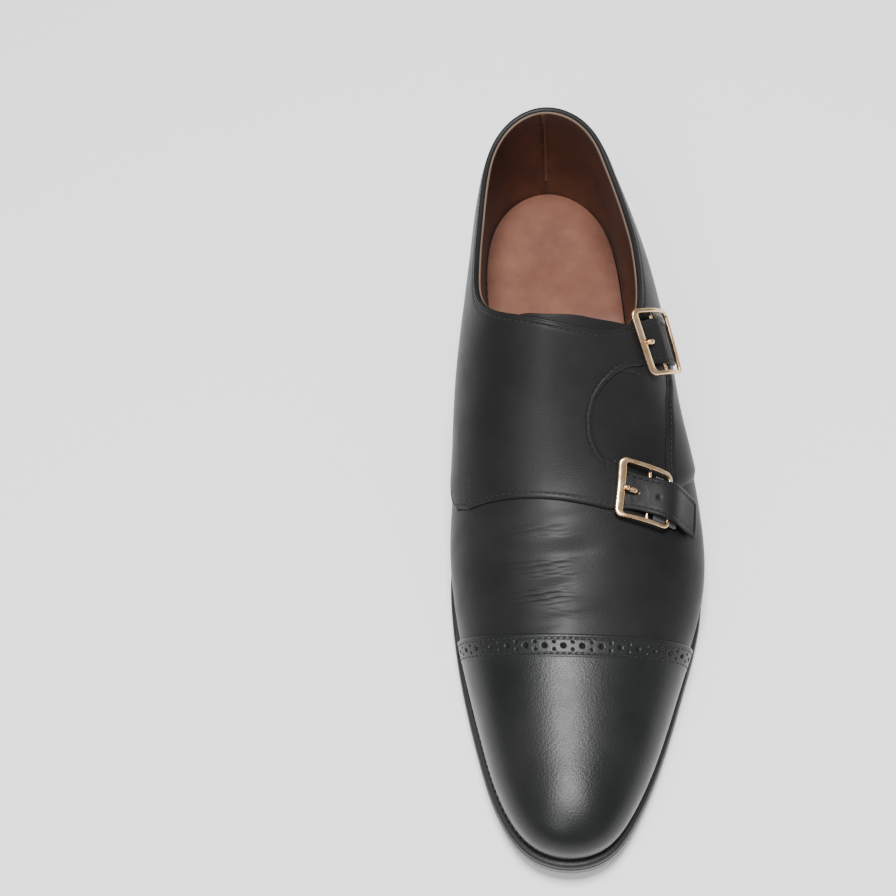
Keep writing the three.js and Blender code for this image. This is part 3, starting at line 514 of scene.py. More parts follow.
def gap_to(points, lines):
    """Distance of each point to the nearest of the lines, which are read every quarter millimetre."""
    marks = []
    for line in lines:
        run = run_length(line)
        at = np.linspace(0, run[-1], int(run[-1] / 0.25) + 2)
        marks.append(np.stack([np.interp(at, run, line[:, k]) for k in range(3)], 1))
    marks = np.vstack(marks)
    flat = points.reshape(-1, 3)
    nearest = [
        ((part**2).sum(1)[:, None] + (marks**2).sum(1) - 2 * part @ marks.T).min(1)
        for part in np.array_split(flat, len(flat) // 1500 + 1)
    ]
    return np.sqrt(np.maximum(np.concatenate(nearest), 0)).reshape(points.shape[:-1])


def pressed(distance, reach=2.5, floor=0.05):
    """Lift of a leather's underside, which is pressed down on what it is sewn to beside its edge."""
    return lerp(floor, GAP, smooth(distance / reach))


def sewn_edge(distance):
    """Lift beside a sewn edge: a round cut edge, a soft roll outside the stitches, a groove along them."""
    short = np.clip(1 - distance / CUT_RADIUS, 0, 1)
    cut = CUT_RADIUS * (1 - np.sqrt(np.clip(1 - short**2, 0, 1)))
    return 0.16 * bell(distance - 1.05, 0.6) - 0.22 * bell(distance - SEAM_INSET, 0.36) - cut


# Waves and creases of the vamp: station, across, half length, depth (hollow below 0), width,
# slant, all in millimetres but the slant
WAVES = np.array([
    (180.5, -4.0, 20.0, -0.17, 2.6, 0.00),
    (187.0, -6.0, 22.0, 0.34, 2.8, 0.01),
    (193.6, -3.0, 26.0, -0.50, 3.2, 0.00),
    (200.6, -8.0, 22.0, 0.28, 2.8, -0.02),
    (205.4, -10.0, 19.0, -0.34, 2.3, 0.03),
    (212.8, -2.0, 23.0, 0.40, 3.4, 0.02),
    (219.2, -12.0, 20.0, -0.28, 2.4, 0.00),
])
# Clusters of fine creases: first and last station, across, half length, how many, depth
CLUSTERS = np.array([
    (181.4, 187.8, -7.0, 16.0, 9, 0.065),
    (195.6, 202.0, -6.0, 23.0, 10, 0.085),
    (205.2, 211.2, -6.0, 22.0, 10, 0.090),
    (211.6, 217.5, 2.0, 13.0, 8, 0.035),
])
CREASE_WIDTH = 0.30


def vamp_relief(place, turn):
    """Waves: a bell across each line, faded to its ends. Creases: the same, thin, each on a line with
    its own slow and quick wave, so that neighbours meet and part."""
    p = last_point(place, turn)
    x, s = p[..., 0], HEEL_BACK - p[..., 1]
    total = np.zeros_like(x)
    for station, middle, half, depth, width, slant in WAVES:
        line = station + slant * (x - middle) - 0.006 * (x - middle) ** 2
        total += depth * bell(s - line, width) * smooth(1.5 - 1.5 * np.abs(x - middle) / half)
    for first, last, middle, half, count, depth in CLUSTERS:
        for number in range(int(count)):
            share = number / (count - 1)
            phase = number * 1.9 + first
            wander = 0.42 * np.sin(x / 4.1 + phase) + 0.2 * np.sin(x / 1.7 + 2 * phase)
            line = lerp(first, last, share) + wander - 0.007 * (x - middle) ** 2
            reach = half * (0.72 + 0.28 * math.sin(phase * 2.1))
            shift = middle + 4.5 * math.sin(phase * 1.3)
            fade = smooth(1.7 - 1.7 * np.abs(x - shift) / reach) * (0.75 + 0.25 * np.sin(x / 2.6 + phase))
            total -= depth * bell(s - line, CREASE_WIDTH) * fade
    return total


# Materials
def linear(code):
    """sRGB hex value to linear colour."""
    values = [int(code[i:i + 2], 16) / 255 for i in (1, 3, 5)]
    return tuple(v / 12.92 if v <= 0.04045 else ((v + 0.055) / 1.055) ** 2.4 for v in values) + (1.0,)


def add(tree, kind, settings=(), links=()):
    """Adds a node with its settings (inputs by name or number, else properties) and its links."""
    node = tree.nodes.new(kind)
    for key, value in dict(settings).items():
        if isinstance(key, int) or key in node.inputs:
            node.inputs[key].default_value = value
        else:
            setattr(node, key, value)
    for key, source in dict(links).items():
        tree.links.new(source, node.inputs[key])
    return node


PER_MM = 1000.0                # pattern scale for one feature a millimetre, on coordinates in metres


def finish(name, settings, patterns=(), tone=None, pit_shade=None, gloss=None, relief=()):
    """A material: plain sockets, then patterns over the piece, each a kind, a feature size in
    millimetres and settings. tone is (pattern, low, high, dark, light), the hole colour is painted
    shade in punched holes, which are duller too, gloss (pattern, rough, rougher), relief rows of (pattern,
    strength, height)."""
    material = bpy.data.materials.new(name)
    material.use_nodes = True
    tree = material.node_tree
    shader = tree.nodes["Principled BSDF"]
    for key, value in settings.items():
        shader.inputs[key].default_value = value
    where = add(tree, "ShaderNodeTexCoord").outputs["Object"]
    values = {}
    for key, (kind, size, extra) in dict(patterns).items():
        if key == "fibre":
            where = add(tree, "ShaderNodeMapping", {"Scale": ALONG_LAYERS}, {"Vector": where}).outputs[0]
        node = add(tree, "ShaderNodeTex" + kind, {"Scale": PER_MM / size, **extra}, {"Vector": where})
        values[key] = node.outputs["Distance" if kind == "Voronoi" else "Fac"]
    # The shade attribute marks punched holes, where the colour is darkened as painted shade.
    hole = add(tree, "ShaderNodeAttribute", {"attribute_name": SHADE}).outputs["Fac"] if pit_shade else None
    if tone:
        key, low, high, dark, light = tone
        share = add(tree, "ShaderNodeMapRange", {"From Min": low, "From Max": high}, {"Value": values[key]})
        mix = {"data_type": "RGBA", 6: linear(dark), 7: linear(light)}
        colour = add(tree, "ShaderNodeMix", mix, {0: share.outputs["Result"]}).outputs[2]
        # Painted shade: the hole colour is mixed in where the shade attribute is set.
        if pit_shade:
            mix = {"data_type": "RGBA", 7: linear(pit_shade)}
            colour = add(tree, "ShaderNodeMix", mix, {0: hole, 6: colour}).outputs[2]
        tree.links.new(colour, shader.inputs["Base Color"])
    if gloss:
        key, low, high = gloss
        span = {"From Min": 0.3, "From Max": 0.7, "To Min": low, "To Max": high}
        rough = add(tree, "ShaderNodeMapRange", span, {"Value": values[key]}).outputs["Result"]
        if pit_shade:
            dull = {"operation": "MULTIPLY_ADD", 1: 0.4}
            rough = add(tree, "ShaderNodeMath", dull, {0: hole, 2: rough}).outputs[0]
        tree.links.new(rough, shader.inputs["Roughness"])
    normal = {}
    for key, strength, height in relief:
        depth = {"Strength": strength, "Distance": height}
        bump = add(tree, "ShaderNodeBump", depth, {"Height": values[key], **normal})
        normal = {"Normal": bump.outputs["Normal"]}
    if normal:
        tree.links.new(normal["Normal"], shader.inputs["Normal"])
    return material


ALONG_LAYERS = (1.0, 1.0, 9.0)


def calf_material(name, dark, light, rough, grain, shine):
    """Box calf: chrome tanned, pigmented and waxed; fine even grain, a soft wide shine."""
    return finish(name, {
        "IOR": 1.4, "Specular IOR Level": shine, "Coat Weight": 0.04, "Coat Roughness": 0.25, "Coat IOR": 1.4,
    }, {
        "cloud": ("Noise", 34, {"Detail": 3.0}), "polish": ("Noise", 9, {"Detail": 4.0}),
        "grain": ("Noise", 0.55, {"Detail": 2.0, "Roughness": 0.6}), "pores": ("Voronoi", 0.8, {}),
    # 060505 is painted shade: the dark inside of the punched holes.
    }, ("cloud", 0.35, 0.65, dark, light), "#060505", ("polish", rough - 0.03, rough + 0.04),
        (("grain", grain, 0.00008), ("pores", grain * 0.8, 0.00006)))


def lining_material(name, dark, light, rough):
    """Vegetable tanned lining calf: undyed on the face, darkened by wear, nearly matte."""
    return finish(name, {"Specular IOR Level": 0.4, "Sheen Weight": 0.05}, {
        "cloud": ("Noise", 22, {"Detail": 5.0, "Roughness": 0.6}), "grain": ("Noise", 0.7, {"Detail": 3.0}),
    # 2a140b is the painted shade colour for punched holes.
    }, ("cloud", 0.32, 0.68, dark, light), "#2a140b", ("cloud", rough, rough + 0.12),
        (("grain", 0.25, 0.00008),))


def edge_material(name, dark, light, rough, layer):
    """Sole leather, inked and burnished: dense fibres that run along the edge in thin layers."""
    return finish(name, {"Specular IOR Level": 0.45}, {"fibre": ("Noise", layer, {"Detail": 4.0})},
                  ("fibre", 0.35, 0.7, dark, light), None, ("fibre", rough - 0.06, rough + 0.1),
                  (("fibre", 0.35, 0.0002),))


def thread_material(name, colour):
    """Bonded polyester thread, waxed: a dull twisted strand."""
    return finish(name, {"Base Color": linear(colour), "Roughness": 0.62}, {"strand": ("Noise", 0.3, {})},
                  relief=(("strand", 0.5, 0.0001),))


CALF = calf_material("box_calf", "#161616", "#1e1e1e", 0.46, 0.5, 0.20)
CAP_CALF = calf_material("polished_box_calf", "#141515", "#1d1e1d", 0.36, 0.7, 0.32)
LINING = lining_material("lining_calf", "#412317", "#643a26", 0.5)
SOCK = lining_material("sock_lining_calf", "#61392a", "#794e3b", 0.46)
STRIP = lining_material("back_strip_calf", "#5c3825", "#7c5238", 0.5)
LINING_EDGE = lining_material("raw_lining_edge", "#544437", "#6c5949", 0.6)
SOLE_EDGE = edge_material("inked_sole_edge", "#0c0b0b", "#191817", 0.42, 0.8)
SOLE_FACE = edge_material("oak_bark_sole_leather", "#8a6444", "#a67f5b", 0.55, 1.6)
WELT_LEATHER = edge_material("inked_welt", "#0f0e0e", "#201e1d", 0.5, 1.0)
THREAD = thread_material("black_thread", "#0a0a0b")
WELT_THREAD = thread_material("waxed_welt_thread", "#55504a")
# Gold plated zinc casting: polished, with hairlines and small clouded spots
GOLD = finish("gold_plate", {"Metallic": 1.0}, {
    "cloud": ("Noise", 3, {"Detail": 3.0}), "hair": ("Noise", 0.4, {"Detail": 2.0}),
}, ("cloud", 0.3, 0.7, "#e2b583", "#f1d2ab"), None, ("cloud", 0.17, 0.27), (("hair", 0.08, 0.00005),))
# Woven elastic: rubber cores under black polyester, fine cells of yarn over ribs
ELASTIC_WEB = finish("woven_elastic", {"Roughness": 0.85, "Sheen Weight": 0.3}, {
    "weave": ("Voronoi", 0.6, {}),
}, ("weave", 0.0, 1.0, "#1c1c1e", "#3a393b"), relief=(("weave", 0.7, 0.0003),))
# Moulded nitrile rubber: matte, with a fine sandblasted texture from its mould
RUBBER = finish("heel_rubber", {"Base Color": linear("#131313"), "Roughness": 0.8},
                {"grit": ("Noise", 0.4, {"Detail": 3.0})}, relief=(("grit", 0.5, 0.0001),))


# Upper and lining
def side_blocks(columns, spacing, low, high, relief=None):
    """Both halves of the upper from the collar line, or the ridge, down to the feather edge."""
    blocks = []
    for side in (-1, 1):
        top = collar_round(columns, side)
        lengths = row_lengths((columns, columns), top, np.full_like(top, side))
        shares = row_shares(lengths, PLAIN, PLAIN, spacing)
        turn = lerp(top[:, None], side, shares)
        place = np.broadcast_to(columns[:, None], turn.shape)
        if side < 0:
            turn, place = turn[:, ::-1], place[:, ::-1]
        extra = relief(place, turn) if relief else 0.0
        blocks.append((place, turn, low, high + extra, 0.0))
    return blocks


def stations(start, end, spacing):
    return place_of(np.linspace(start, end, int((end - start) / spacing) + 2))


THROAT_STATION = HEEL_POLE + (THROAT - 1) * (TOE_START - HEEL_POLE)
vamp_columns = np.unique(np.round(np.concatenate([
    collar_places(2.4), stations(THROAT_STATION, 176, 2.6)[1:], stations(176, 222, 0.26),
    stations(222, TOE_START, 2.4), np.linspace(2, 3, 18)[1:],
]), 7))
vamp = sheet("vamp", side_blocks(vamp_columns, 1.5, -0.7, 0.0, vamp_relief), CALF)
lining_columns = np.unique(np.round(np.concatenate([
    collar_places(2.4), stations(THROAT_STATION, TOE_START, 5)[1:], np.linspace(2, 3, 12)[1:],
]), 7))
lining = sheet("lining", side_blocks(lining_columns, 3.0, -WALL, -0.75), LINING)
dress(vamp, "upper")
dress(lining, "upper")


# Seams: small stitches along lines on the leathers
def beside(place, turn, inset, lift):
    """A line over the upper moved sideways by inset, to the left of its run, with its normals."""
    points, normals = last_point(place, turn), last_normal(place, turn)
    ahead = unit(np.gradient(points, axis=0))
    lift = np.broadcast_to(np.asarray(lift, float), points.shape[:1])
    return points + np.cross(normals, ahead) * inset + normals * lift[:, None], normals


def stitches(name, lines, node, pitch=2.5, length=1.9, radius=0.27, material=None, slant=0.0):
    """Joined stitches, each a small capsule: a pole, three rings of six and a pole along its run."""
    steps = np.array([-0.5, -0.36, 0.0, 0.36, 0.5]) * length
    swell = np.array([0.0, 0.8, 1.0, 0.8, 0.0]) * radius
    angle = np.arange(6) * np.pi / 3
    bodies = []
    for points, normals in lines:
        run = run_length(points)
        at = np.arange(pitch / 2, run[-1], pitch)
        centre, over, ahead = (
            np.stack([np.interp(at, run, source[:, k]) for k in range(3)], 1)
            for source in (points, normals, np.gradient(points, run, axis=0))
        )
        ahead = unit(ahead)
        side = unit(np.cross(ahead, over))
        ahead = unit(ahead + slant * side)
        side, over = unit(np.cross(ahead, over)), unit(over)
        rings = (
            centre[:, None, None] + ahead[:, None, None] * steps[None, :, None, None]
            + (side[:, None, None] * np.cos(angle)[None, None, :, None]
               + over[:, None, None] * 0.75 * np.sin(angle)[None, None, :, None]) * swell[None, :, None, None]
        )
        bodies.append(rings)
    rings = np.vstack(bodies)
    count = len(rings)
    points = np.concatenate([rings[:, :1, 0], rings[:, 1:4].reshape(count, 18, 3), rings[:, 4:, 0]], 1)
    ring = np.arange(6)
    turned = (ring + 1) % 6
    quads = [np.stack([1 + k + ring, 1 + k + turned, 7 + k + turned, 7 + k + ring], 1) for k in (0, 6)]
    pole = np.zeros_like(ring)
    ends = [np.stack([pole, 1 + turned, 1 + ring], 1), np.stack([pole + 19, 13 + ring, 13 + turned], 1)]
    start = (np.arange(count) * 20)[:, None, None]
    faces = (np.vstack(quads)[None] + start).reshape(-1, 4).tolist()
    faces += (np.vstack(ends)[None] + start).reshape(-1, 3).tolist()
    piece = new_object(name, points.reshape(-1, 3), faces, material or THREAD)
    return dress(piece, node)


# Toe cap with its punched band
BAND = 8.5
BAND_SEAMS = (1.7, 7.3)
BAND_MIDDLE = 4.45
HOLE_STEP = 7.0


def cap_seam(turn):
    return CAP_SEAM - CAP_SWEEP * (turn - CAP_MIDDLE) ** 2


def toe_cap():
    """Rings from the seam to the tip: even distances in the band, then on to the toe's last column."""
    turn = np.linspace(-FOOT_ROUND, FOOT_ROUND, 420)
    near = np.concatenate([[0, 0.08, 0.22, 0.42], np.arange(0.75, BAND + 1.6, 0.34)])
    band = place_of(cap_seam(turn)[:, None] + near)
    rest = lerp(band[:, -1:], 3.0, np.linspace(0, 1, 52)[1:] ** 0.9)
    place = np.hstack([band, rest]).T
    turn = np.broadcast_to(turn, place.shape)
    distance = np.broadcast_to(np.concatenate([near, np.full(51, 99.0)])[:, None], place.shape)
    run = run_length(last_point(place_of(cap_seam(turn[0]) + BAND_MIDDLE), turn[0]))
    run = run - np.interp(0.06, turn[0], run)
    # Punched holes: the band is sunk there and, through the shade attribute, painted dark as shade.
    pit_shade = np.zeros(place.shape)
    for offset, rows, radius in (
        (2.6, (BAND_MIDDLE,), 0.68), (2.6 + HOLE_STEP / 2, (BAND_MIDDLE - 1.4, BAND_MIDDLE + 1.4), 0.34),
    ):
        along = (run - offset + HOLE_STEP / 2) % HOLE_STEP - HOLE_STEP / 2
        for row in rows:
            pit_shade = np.maximum(pit_shade, smooth(1.6 - np.hypot(along, distance - row) / radius))
    short = np.clip(1 - distance / CUT_RADIUS, 0, 1)
    lift = OVERLAY - CUT_RADIUS * (1 - np.sqrt(1 - short**2)) + 0.08 * bell(distance - 0.8, 0.5) - 0.7 * pit_shade
    for row in BAND_SEAMS:
        lift = lift - 0.17 * bell(distance - row, 0.4)
    lift = lift - 0.16 * smooth((distance - BAND + 0.25) / 0.5)
    scratch = bell(distance - 14 - 0.3 * run - 4, 0.5) * bell(run + 15, 5)
    lift = lift - 0.05 * scratch
    return sheet("toe_cap_leather", [(place, turn, GAP, lift, pit_shade)], CAP_CALF)


cap = toe_cap()
dress(cap, "toe_cap")
cap_turn = np.linspace(-0.97, 0.97, 300)
stitches("toe_cap_stitches", [
    beside(place_of(cap_seam(cap_turn) + row), cap_turn, 0.0, OVERLAY - 0.1) for row in BAND_SEAMS
], "toe_cap", pitch=2.3, length=1.6, radius=0.26)


# Strap charts
def chart_of(name):
    """A flat chart round a buckle: a runs along the strap to its tail, b along the bars to the toe."""
    data = BUCKLES[name]
    place, turn, step = float(place_of(data["along"] * LENGTH)), data["round"], 0.01
    per_place = np.linalg.norm(last_point(place + step, turn) - last_point(place - step, turn)) / (2 * step)
    per_round = np.linalg.norm(last_point(place, turn + step) - last_point(place, turn - step)) / (2 * step)
    c, k = math.cos(math.radians(data["turn"])), math.sin(math.radians(data["turn"]))

    def spot(a, b):
        a, b = np.asarray(a, float), np.asarray(b, float)
        return place + (b * c - a * k) / per_place, turn + (a * c + b * k) / per_round

    def reach(p, t):
        return (t - turn) * per_round * c - (p - place) * per_place * k

    def point(a, b, lift):
        return lifted(*spot(a, b), np.broadcast_arrays(np.asarray(lift, float), np.asarray(a, float))[0])

    return spot, reach, point


CHARTS = {name: chart_of(name) for name in BUCKLES}


def ramp(table, x):
    """Heights from a short table, by a spline that stays over the last."""
    table = np.asarray(table, float)
    x = np.clip(x, table[0, 0], table[-1, 0])
    return np.maximum(spline(table[:, 0], table[:, 1])(x), GAP)


SPARE_HOLES = {"upper": (), "lower": (4.6,)}
TAIL_CORNER = 2.2


def softened(table, s, reach=1.2):
    """An edge's round at a station: straight between the table's rows, softened over its corners."""
    s = np.asarray(s, float)
    offsets = np.linspace(-reach, reach, 7)
    return np.mean([np.interp(s + d, table[:, 0] * LENGTH, table[:, 1]) for d in offsets], axis=0)


def flap_end(s, side):
    """Round at which a column of the flap ends: medial seam, or roots of the straps and cut-out."""
    if side < 0:
        return np.where(s < MEDIAL_EDGE[1, 0] * LENGTH, -FOOT_ROUND, softened(MEDIAL_EDGE, s))
    upper, lower = ROOTS["upper"], ROOTS["lower"]
    end = np.interp(s, CUT_OUT[:, 0] * LENGTH, CUT_OUT[:, 1])
    end = np.where(s <= upper[1] * LENGTH, upper[2], end)
    return np.where(s >= lower[0] * LENGTH, lower[2], end)


MEDIAL_BACK = 2.6


def flap_place(s, turn):
    """Column of a point of the flap: its lateral end is swept forward, by the square of its share, and
    its medial corner a little back."""
    medial = flap_end(s, -1)
    share = (turn - medial) / (FRONT_ROUND - medial)
    forward = np.interp(s, SWEEP[:, 0] * LENGTH, SWEEP[:, 1] * LENGTH)
    back = forward / (SWEEP[-1, 1] * LENGTH) * MEDIAL_BACK * smooth((-0.44 - turn) / 0.12)
    return place_of(s + forward * share**2 - back)


FRONT = FLAP_FRONT * LENGTH


def station_of(place):
    return HEEL_POLE + (place - 1) * (TOE_START - HEEL_POLE)


def flap_stations():
    """Stations of the flap's columns from the throat's roots on: fine beside each free edge."""
    upper, lower = ROOTS["upper"], ROOTS["lower"]
    heel, toe, root = upper[0] * LENGTH, upper[1] * LENGTH, lower[0] * LENGTH
    spans = [
        np.concatenate([start + FINE, np.linspace(start + FINE[-1], end - FINE[-1], count), end - FINE])
        for start, end, count in ((heel, toe, 14), (toe, root, 26), (root, FRONT, 10))
    ]
    throat = station_of(collar_places(1.0))
    return np.unique(np.round(np.concatenate(spans + [throat[(throat > heel) & (throat < toe)]]), 6))


def strap_block(name, share, column):
    """One strap as a grid: its two edges are splines from the flap's root line to the tail, whose
    corners are rounded, and its rows across start at the flap's own columns."""
    spot, reach, _ = CHARTS[name]
    data = BUCKLES[name]
    edges = []
    for station, side in ((column[0], -1), (column[-1], 1)):
        marks = [
            spot(a, side * (STRAP_WIDTH / 2 - gather))
            for a, gather in ((-FRAME_WIDTH / 4, STRAP_GATHER), (data["tail"] / 2, 0), (data["tail"], 0))
        ]
        edges.append(curve([(float(station), ROOTS[name][2])] + marks))
    length = np.linalg.norm(last_point(*edges[0](1.0)) - last_point(*edges[0](0.0))) * 1.04
    tail = 1 - FINE[::-1] / length
    t = np.concatenate([np.linspace(0, tail[0], int(length / 0.7))[:-1], tail])
    from_tail = (1 - t) * length
    bite = np.clip(1 - from_tail / TAIL_CORNER, 0, 1)
    inset = (TAIL_CORNER * (1 - np.sqrt(np.clip(1 - bite**2, 0, 1))) / STRAP_WIDTH)[:, None]
    share = inset + share * (1 - 2 * inset)
    first, second = edges[0](t)[:, None], edges[1](t)[:, None]
    place = lerp(first[..., 0], second[..., 0], share)
    turn = lerp(first[..., 1], second[..., 1], share)
    a = reach(place, turn)
    b = (share - 0.5) * STRAP_WIDTH
    from_root = np.broadcast_to((t * length)[:, None], b.shape)
    low = ramp(data["strap"], a)
    free = smooth(from_root / 3)
    # Prong hole and spare holes: sunk, and painted dark as shade through the shade attribute.
    pit_shade = smooth(1.35 - np.hypot((a - HOLE_PLACE - 0.6) / 1.7, b / 1.05))
    for hole in SPARE_HOLES[name]:
        pit_shade = np.maximum(pit_shade, smooth(1.6 - np.hypot(a - hole, b) / 0.5))
    ring = bell(np.hypot(a - HOLE_PLACE - 0.5, b * 0.8) - 3.0, 0.5) * (a > HOLE_PLACE)
    ring = ring + 0.7 * bell(np.hypot(a - HOLE_PLACE - 0.5, b * 0.8) - 4.3, 0.5) * (a > HOLE_PLACE)
    return place, turn, low, -0.8 * pit_shade - 0.16 * ring, pit_shade, free


def flap():
    """Both halves of the flap and its straps as grids that share their root lines, lifted by the
    distance to their free edges; returns the blocks and the lines of those edges."""
    upper, lower = ROOTS["upper"], ROOTS["lower"]
    tail_stations = flap_stations()
    rear = station_of(rear_columns(1.3, upper[0]))
    blocks, ends, tops = [], {}, {}
    for side, s in ((-1, np.concatenate([rear, tail_stations])), (1, tail_stations)):
        column = place_of(s)
        top, end = collar_round(column, side, -0.2), flap_end(s, side)
        lengths = row_lengths((column, column), top, end)
        turn = lerp(top[:, None], end[:, None], row_shares(lengths, FINE, FINE, 2.0))
        place = np.where(s[:, None] > SWEEP[0, 0] * LENGTH, flap_place(s[:, None], turn), column[:, None])
        ends[side] = (place[:, -1], turn[:, -1], s)
        tops[side] = (place[:, 0], turn[:, 0], s)
        if side < 0:
            place, turn = place[:, ::-1], turn[:, ::-1]
        blocks.append([place, turn] + [np.zeros_like(turn) for _ in range(4)])
    place, turn, s = ends[1]
    for name in BUCKLES:
        near = s <= upper[1] * LENGTH + 1e-5 if name == "upper" else s >= lower[0] * LENGTH - 1e-5
        column = place[near]
        share = (column - column[0]) / (column[-1] - column[0])
        blocks.append([grid[:, ::-1] for grid in strap_block(name, share[None], column)])
    lines = {}
    collar = [(p[s <= station_of(THROAT)], t[s <= station_of(THROAT)]) for p, t, s in tops.values()]
    lines["collar"] = (np.concatenate([collar[0][0], collar[1][0][::-1]]),
                       np.concatenate([collar[0][1], collar[1][1][::-1]]))
    place, turn, s = ends[1]
    cut = (s >= upper[1] * LENGTH - 1e-5) & (s <= lower[0] * LENGTH + 1e-5)
    lines["cut_out"] = (place[cut], turn[cut])
    lines["front"] = (np.concatenate([blocks[0][0][-1], blocks[1][0][-1]]),
                      np.concatenate([blocks[0][1][-1], blocks[1][1][-1]]))
    place, turn, s = ends[-1]
    medial = s > MEDIAL_EDGE[1, 0] * LENGTH
    lines["medial"] = (place[medial], turn[medial])
    for name, (place, turn, *_) in zip(BUCKLES, blocks[2:]):
        lines[name + "_strap_toe"] = (place[:, 0], turn[:, 0])
        lines[name + "_strap_heel"] = (place[:, -1], turn[:, -1])
        lines[name + "_strap_tail"] = (place[-1], turn[-1])
    edges = [last_point(*line) for line in lines.values()]
    for block in blocks:
        place, turn, low, relief, _, free = block
        p = last_point(place, turn)
        distance = gap_to(p, edges)
        s = HEEL_BACK - p[..., 1]
        fold = 0.25 * bell(p[..., 0] + 20 - 0.1 * (s - 140), 9) * bell(s - 140, 30)
        block[2] = lerp(pressed(distance), low, free)
        block[3] = block[2] + LEATHER + sewn_edge(distance) + relief + fold
        block.pop()
    return blocks, lines


flap_grids, flap_lines = flap()
monk_flap = sheet("monk_flap_leather", flap_grids, CALF)
dress(monk_flap, "monk_flap")


def strap_rows(name):
    """Stitch lines along both edges of a strap, on top of it."""
    place, turn, low, _, _ = flap_grids[2 if name == "upper" else 3]
    rows = []
    for near, far in ((0, -1), (-1, 0)):
        share = SEAM_INSET / STRAP_WIDTH
        row = [lerp(grid[:-6, near], grid[:-6, far], share) for grid in (place, turn, low)]
        rows.append(beside(row[0], row[1], 0.0, row[2] + LEATHER - 0.12))
    return rows


def tack(points):
    """A stitch line through a few places, each a station share and a round."""
    line = curve([(float(place_of(a * LENGTH)), r) for a, r in points])(np.linspace(0, 1, 60))
    return beside(line[:, 0], line[:, 1], 0.0, OVERLAY - 0.05)


collar_place, collar_turn = flap_lines["collar"]
sewn = collar_place > place_of(0.12 * LENGTH)
flap_seams = [beside(*line, inset, OVERLAY - 0.12) for line, inset in (
    (flap_lines["cut_out"], -SEAM_INSET), ((collar_place[sewn], collar_turn[sewn]), -SEAM_INSET),
    (flap_lines["front"], SEAM_INSET),
)]
flap_seams.append(tack([(0.4596, -0.55), (0.4956, -0.54), (0.5498, -0.52)]))
flap_seams.append(tack([(0.5269, -0.438), (0.5573, -0.44)]))
for name in BUCKLES:
    flap_seams += strap_rows(name)
stitches("monk_flap_stitches", flap_seams, "monk_flap")


def quarter_lift(distance, place):
    """Underside and thickness by distance to the edge: sewn at the collar, skived at the facing."""
    skived = LEATHER * (0.2 + 0.8 * smooth(distance / 3.2)) - 0.10 * bell(distance - SEAM_INSET, 0.35)
    is_facing = smooth((place - place_of(0.33 * LENGTH)) / 0.03)
    return pressed(distance, 3.0), lerp(LEATHER + sewn_edge(distance), skived, is_facing)


def quarter_block():
    """Columns from the collar line and the facing edge down to the feather edge."""
    start = QUARTER[0, 0]
    rear = rear_columns(1.6, start)
    share = np.linspace(0, 1, 90)
    rows = curve(QUARTER)(share)
    top_place = np.concatenate([rear, place_of(rows[:, 0] * LENGTH)])
    facing = np.maximum(rows[:, 1], collar_round(place_of(rows[:, 0] * LENGTH), 1))
    top_round = np.concatenate([collar_round(rear, 1), facing])
    lean = (start - QUARTER[0, 2]) * LENGTH / (start * LENGTH - HEEL_POLE)
    foot_rear = rear - np.maximum(0, rear - 1) * lean
    foot_place = np.concatenate([foot_rear, place_of(rows[:, 2] * LENGTH)])
    foot = np.full_like(top_round, FOOT_ROUND)
    lengths = row_lengths((top_place, foot_place), top_round, foot)
    shares = row_shares(lengths, FINE, PLAIN, 1.8)
    place = lerp(top_place[:, None], foot_place[:, None], shares)
    turn = lerp(top_round[:, None], foot[:, None], shares)
    edge = (top_place, top_round)
    distance = gap_to(last_point(place, turn), [last_point(*edge), last_point(place[-1], turn[-1])])
    low, thick = quarter_lift(distance, place)
    return (place, turn, low, low + thick, 0.0), edge


quarter_grid, quarter_edge = quarter_block()
quarter = sheet("lateral_quarter_leather", [quarter_grid], CALF)
dress(quarter, "lateral_quarter")
seam_place, seam_round = quarter_edge[0][8:], quarter_edge[1][8:]
seam_lift = sum(quarter_lift(np.full_like(seam_place, SEAM_INSET), seam_place)) + 0.04
stitches("lateral_quarter_stitches", [beside(seam_place, seam_round, SEAM_INSET, seam_lift)],
         "lateral_quarter", radius=0.2)


# Tongue: the thin edge of its leather shows behind the throat. Round, rise over the throat's edge
TONGUE = np.array([
    (-0.24, -1.0), (-0.17, 0.8), (-0.07, 1.7), (0.06, 3.1), (0.14, 3.9), (0.24, 3.7), (0.33, 2.2),
    (0.40, -1.0),
])


def tongue_block():
    """Columns by round, rows from the raised top edge down under the throat."""
    turn = np.linspace(TONGUE[0, 0], TONGUE[-1, 0], 110)[:, None]
    rise = spline(TONGUE[:, 0], TONGUE[:, 1])(turn)
    line_place, line_turn = flap_lines["collar"]
    order = np.argsort(line_turn)
    edge = station_of(np.interp(turn, line_turn[order], line_place[order]))
    from_top = np.concatenate([FINE[:5], np.linspace(1.4, 16, 12)])
    place = place_of(edge - rise + from_top)
    thick = 0.7 * np.sqrt(np.clip(1 - np.clip(1 - from_top / 0.35, 0, 1) ** 2, 0, 1))
    return place, np.broadcast_to(turn, place.shape), -0.45, -0.44 + thick, 0.0


tongue = sheet("tongue_edge", [tongue_block()], CALF)
dress(tongue, "upper")


# Collar binding and the raw edge of the lining
def collar_path(spacing):
    """Closed line round the collar: medial side forward, throat, lateral side back."""
    medial = collar_places(spacing)
    line = np.concatenate([medial, medial[::-1][1:-1]])
    turn = np.concatenate([collar_round(medial, -1), collar_round(medial, 1)[::-1][1:-1]])
    points, normals = last_point(line, turn), last_normal(line, turn)
    for _ in range(6):
        points = (np.roll(points, 1, 0) + 2 * points + np.roll(points, -1, 0)) / 4
        normals = unit(np.roll(normals, 1, 0) + 2 * normals + np.roll(normals, -1, 0))
    ahead = unit(np.roll(points, -1, 0) - np.roll(points, 1, 0))
    over = unit(np.cross(ahead, normals))
    if over[0, 2] < 0:
        over = -over
    out = unit(np.cross(over, ahead))
    return points, out * np.sign(np.sum(out * normals, 1))[:, None], over


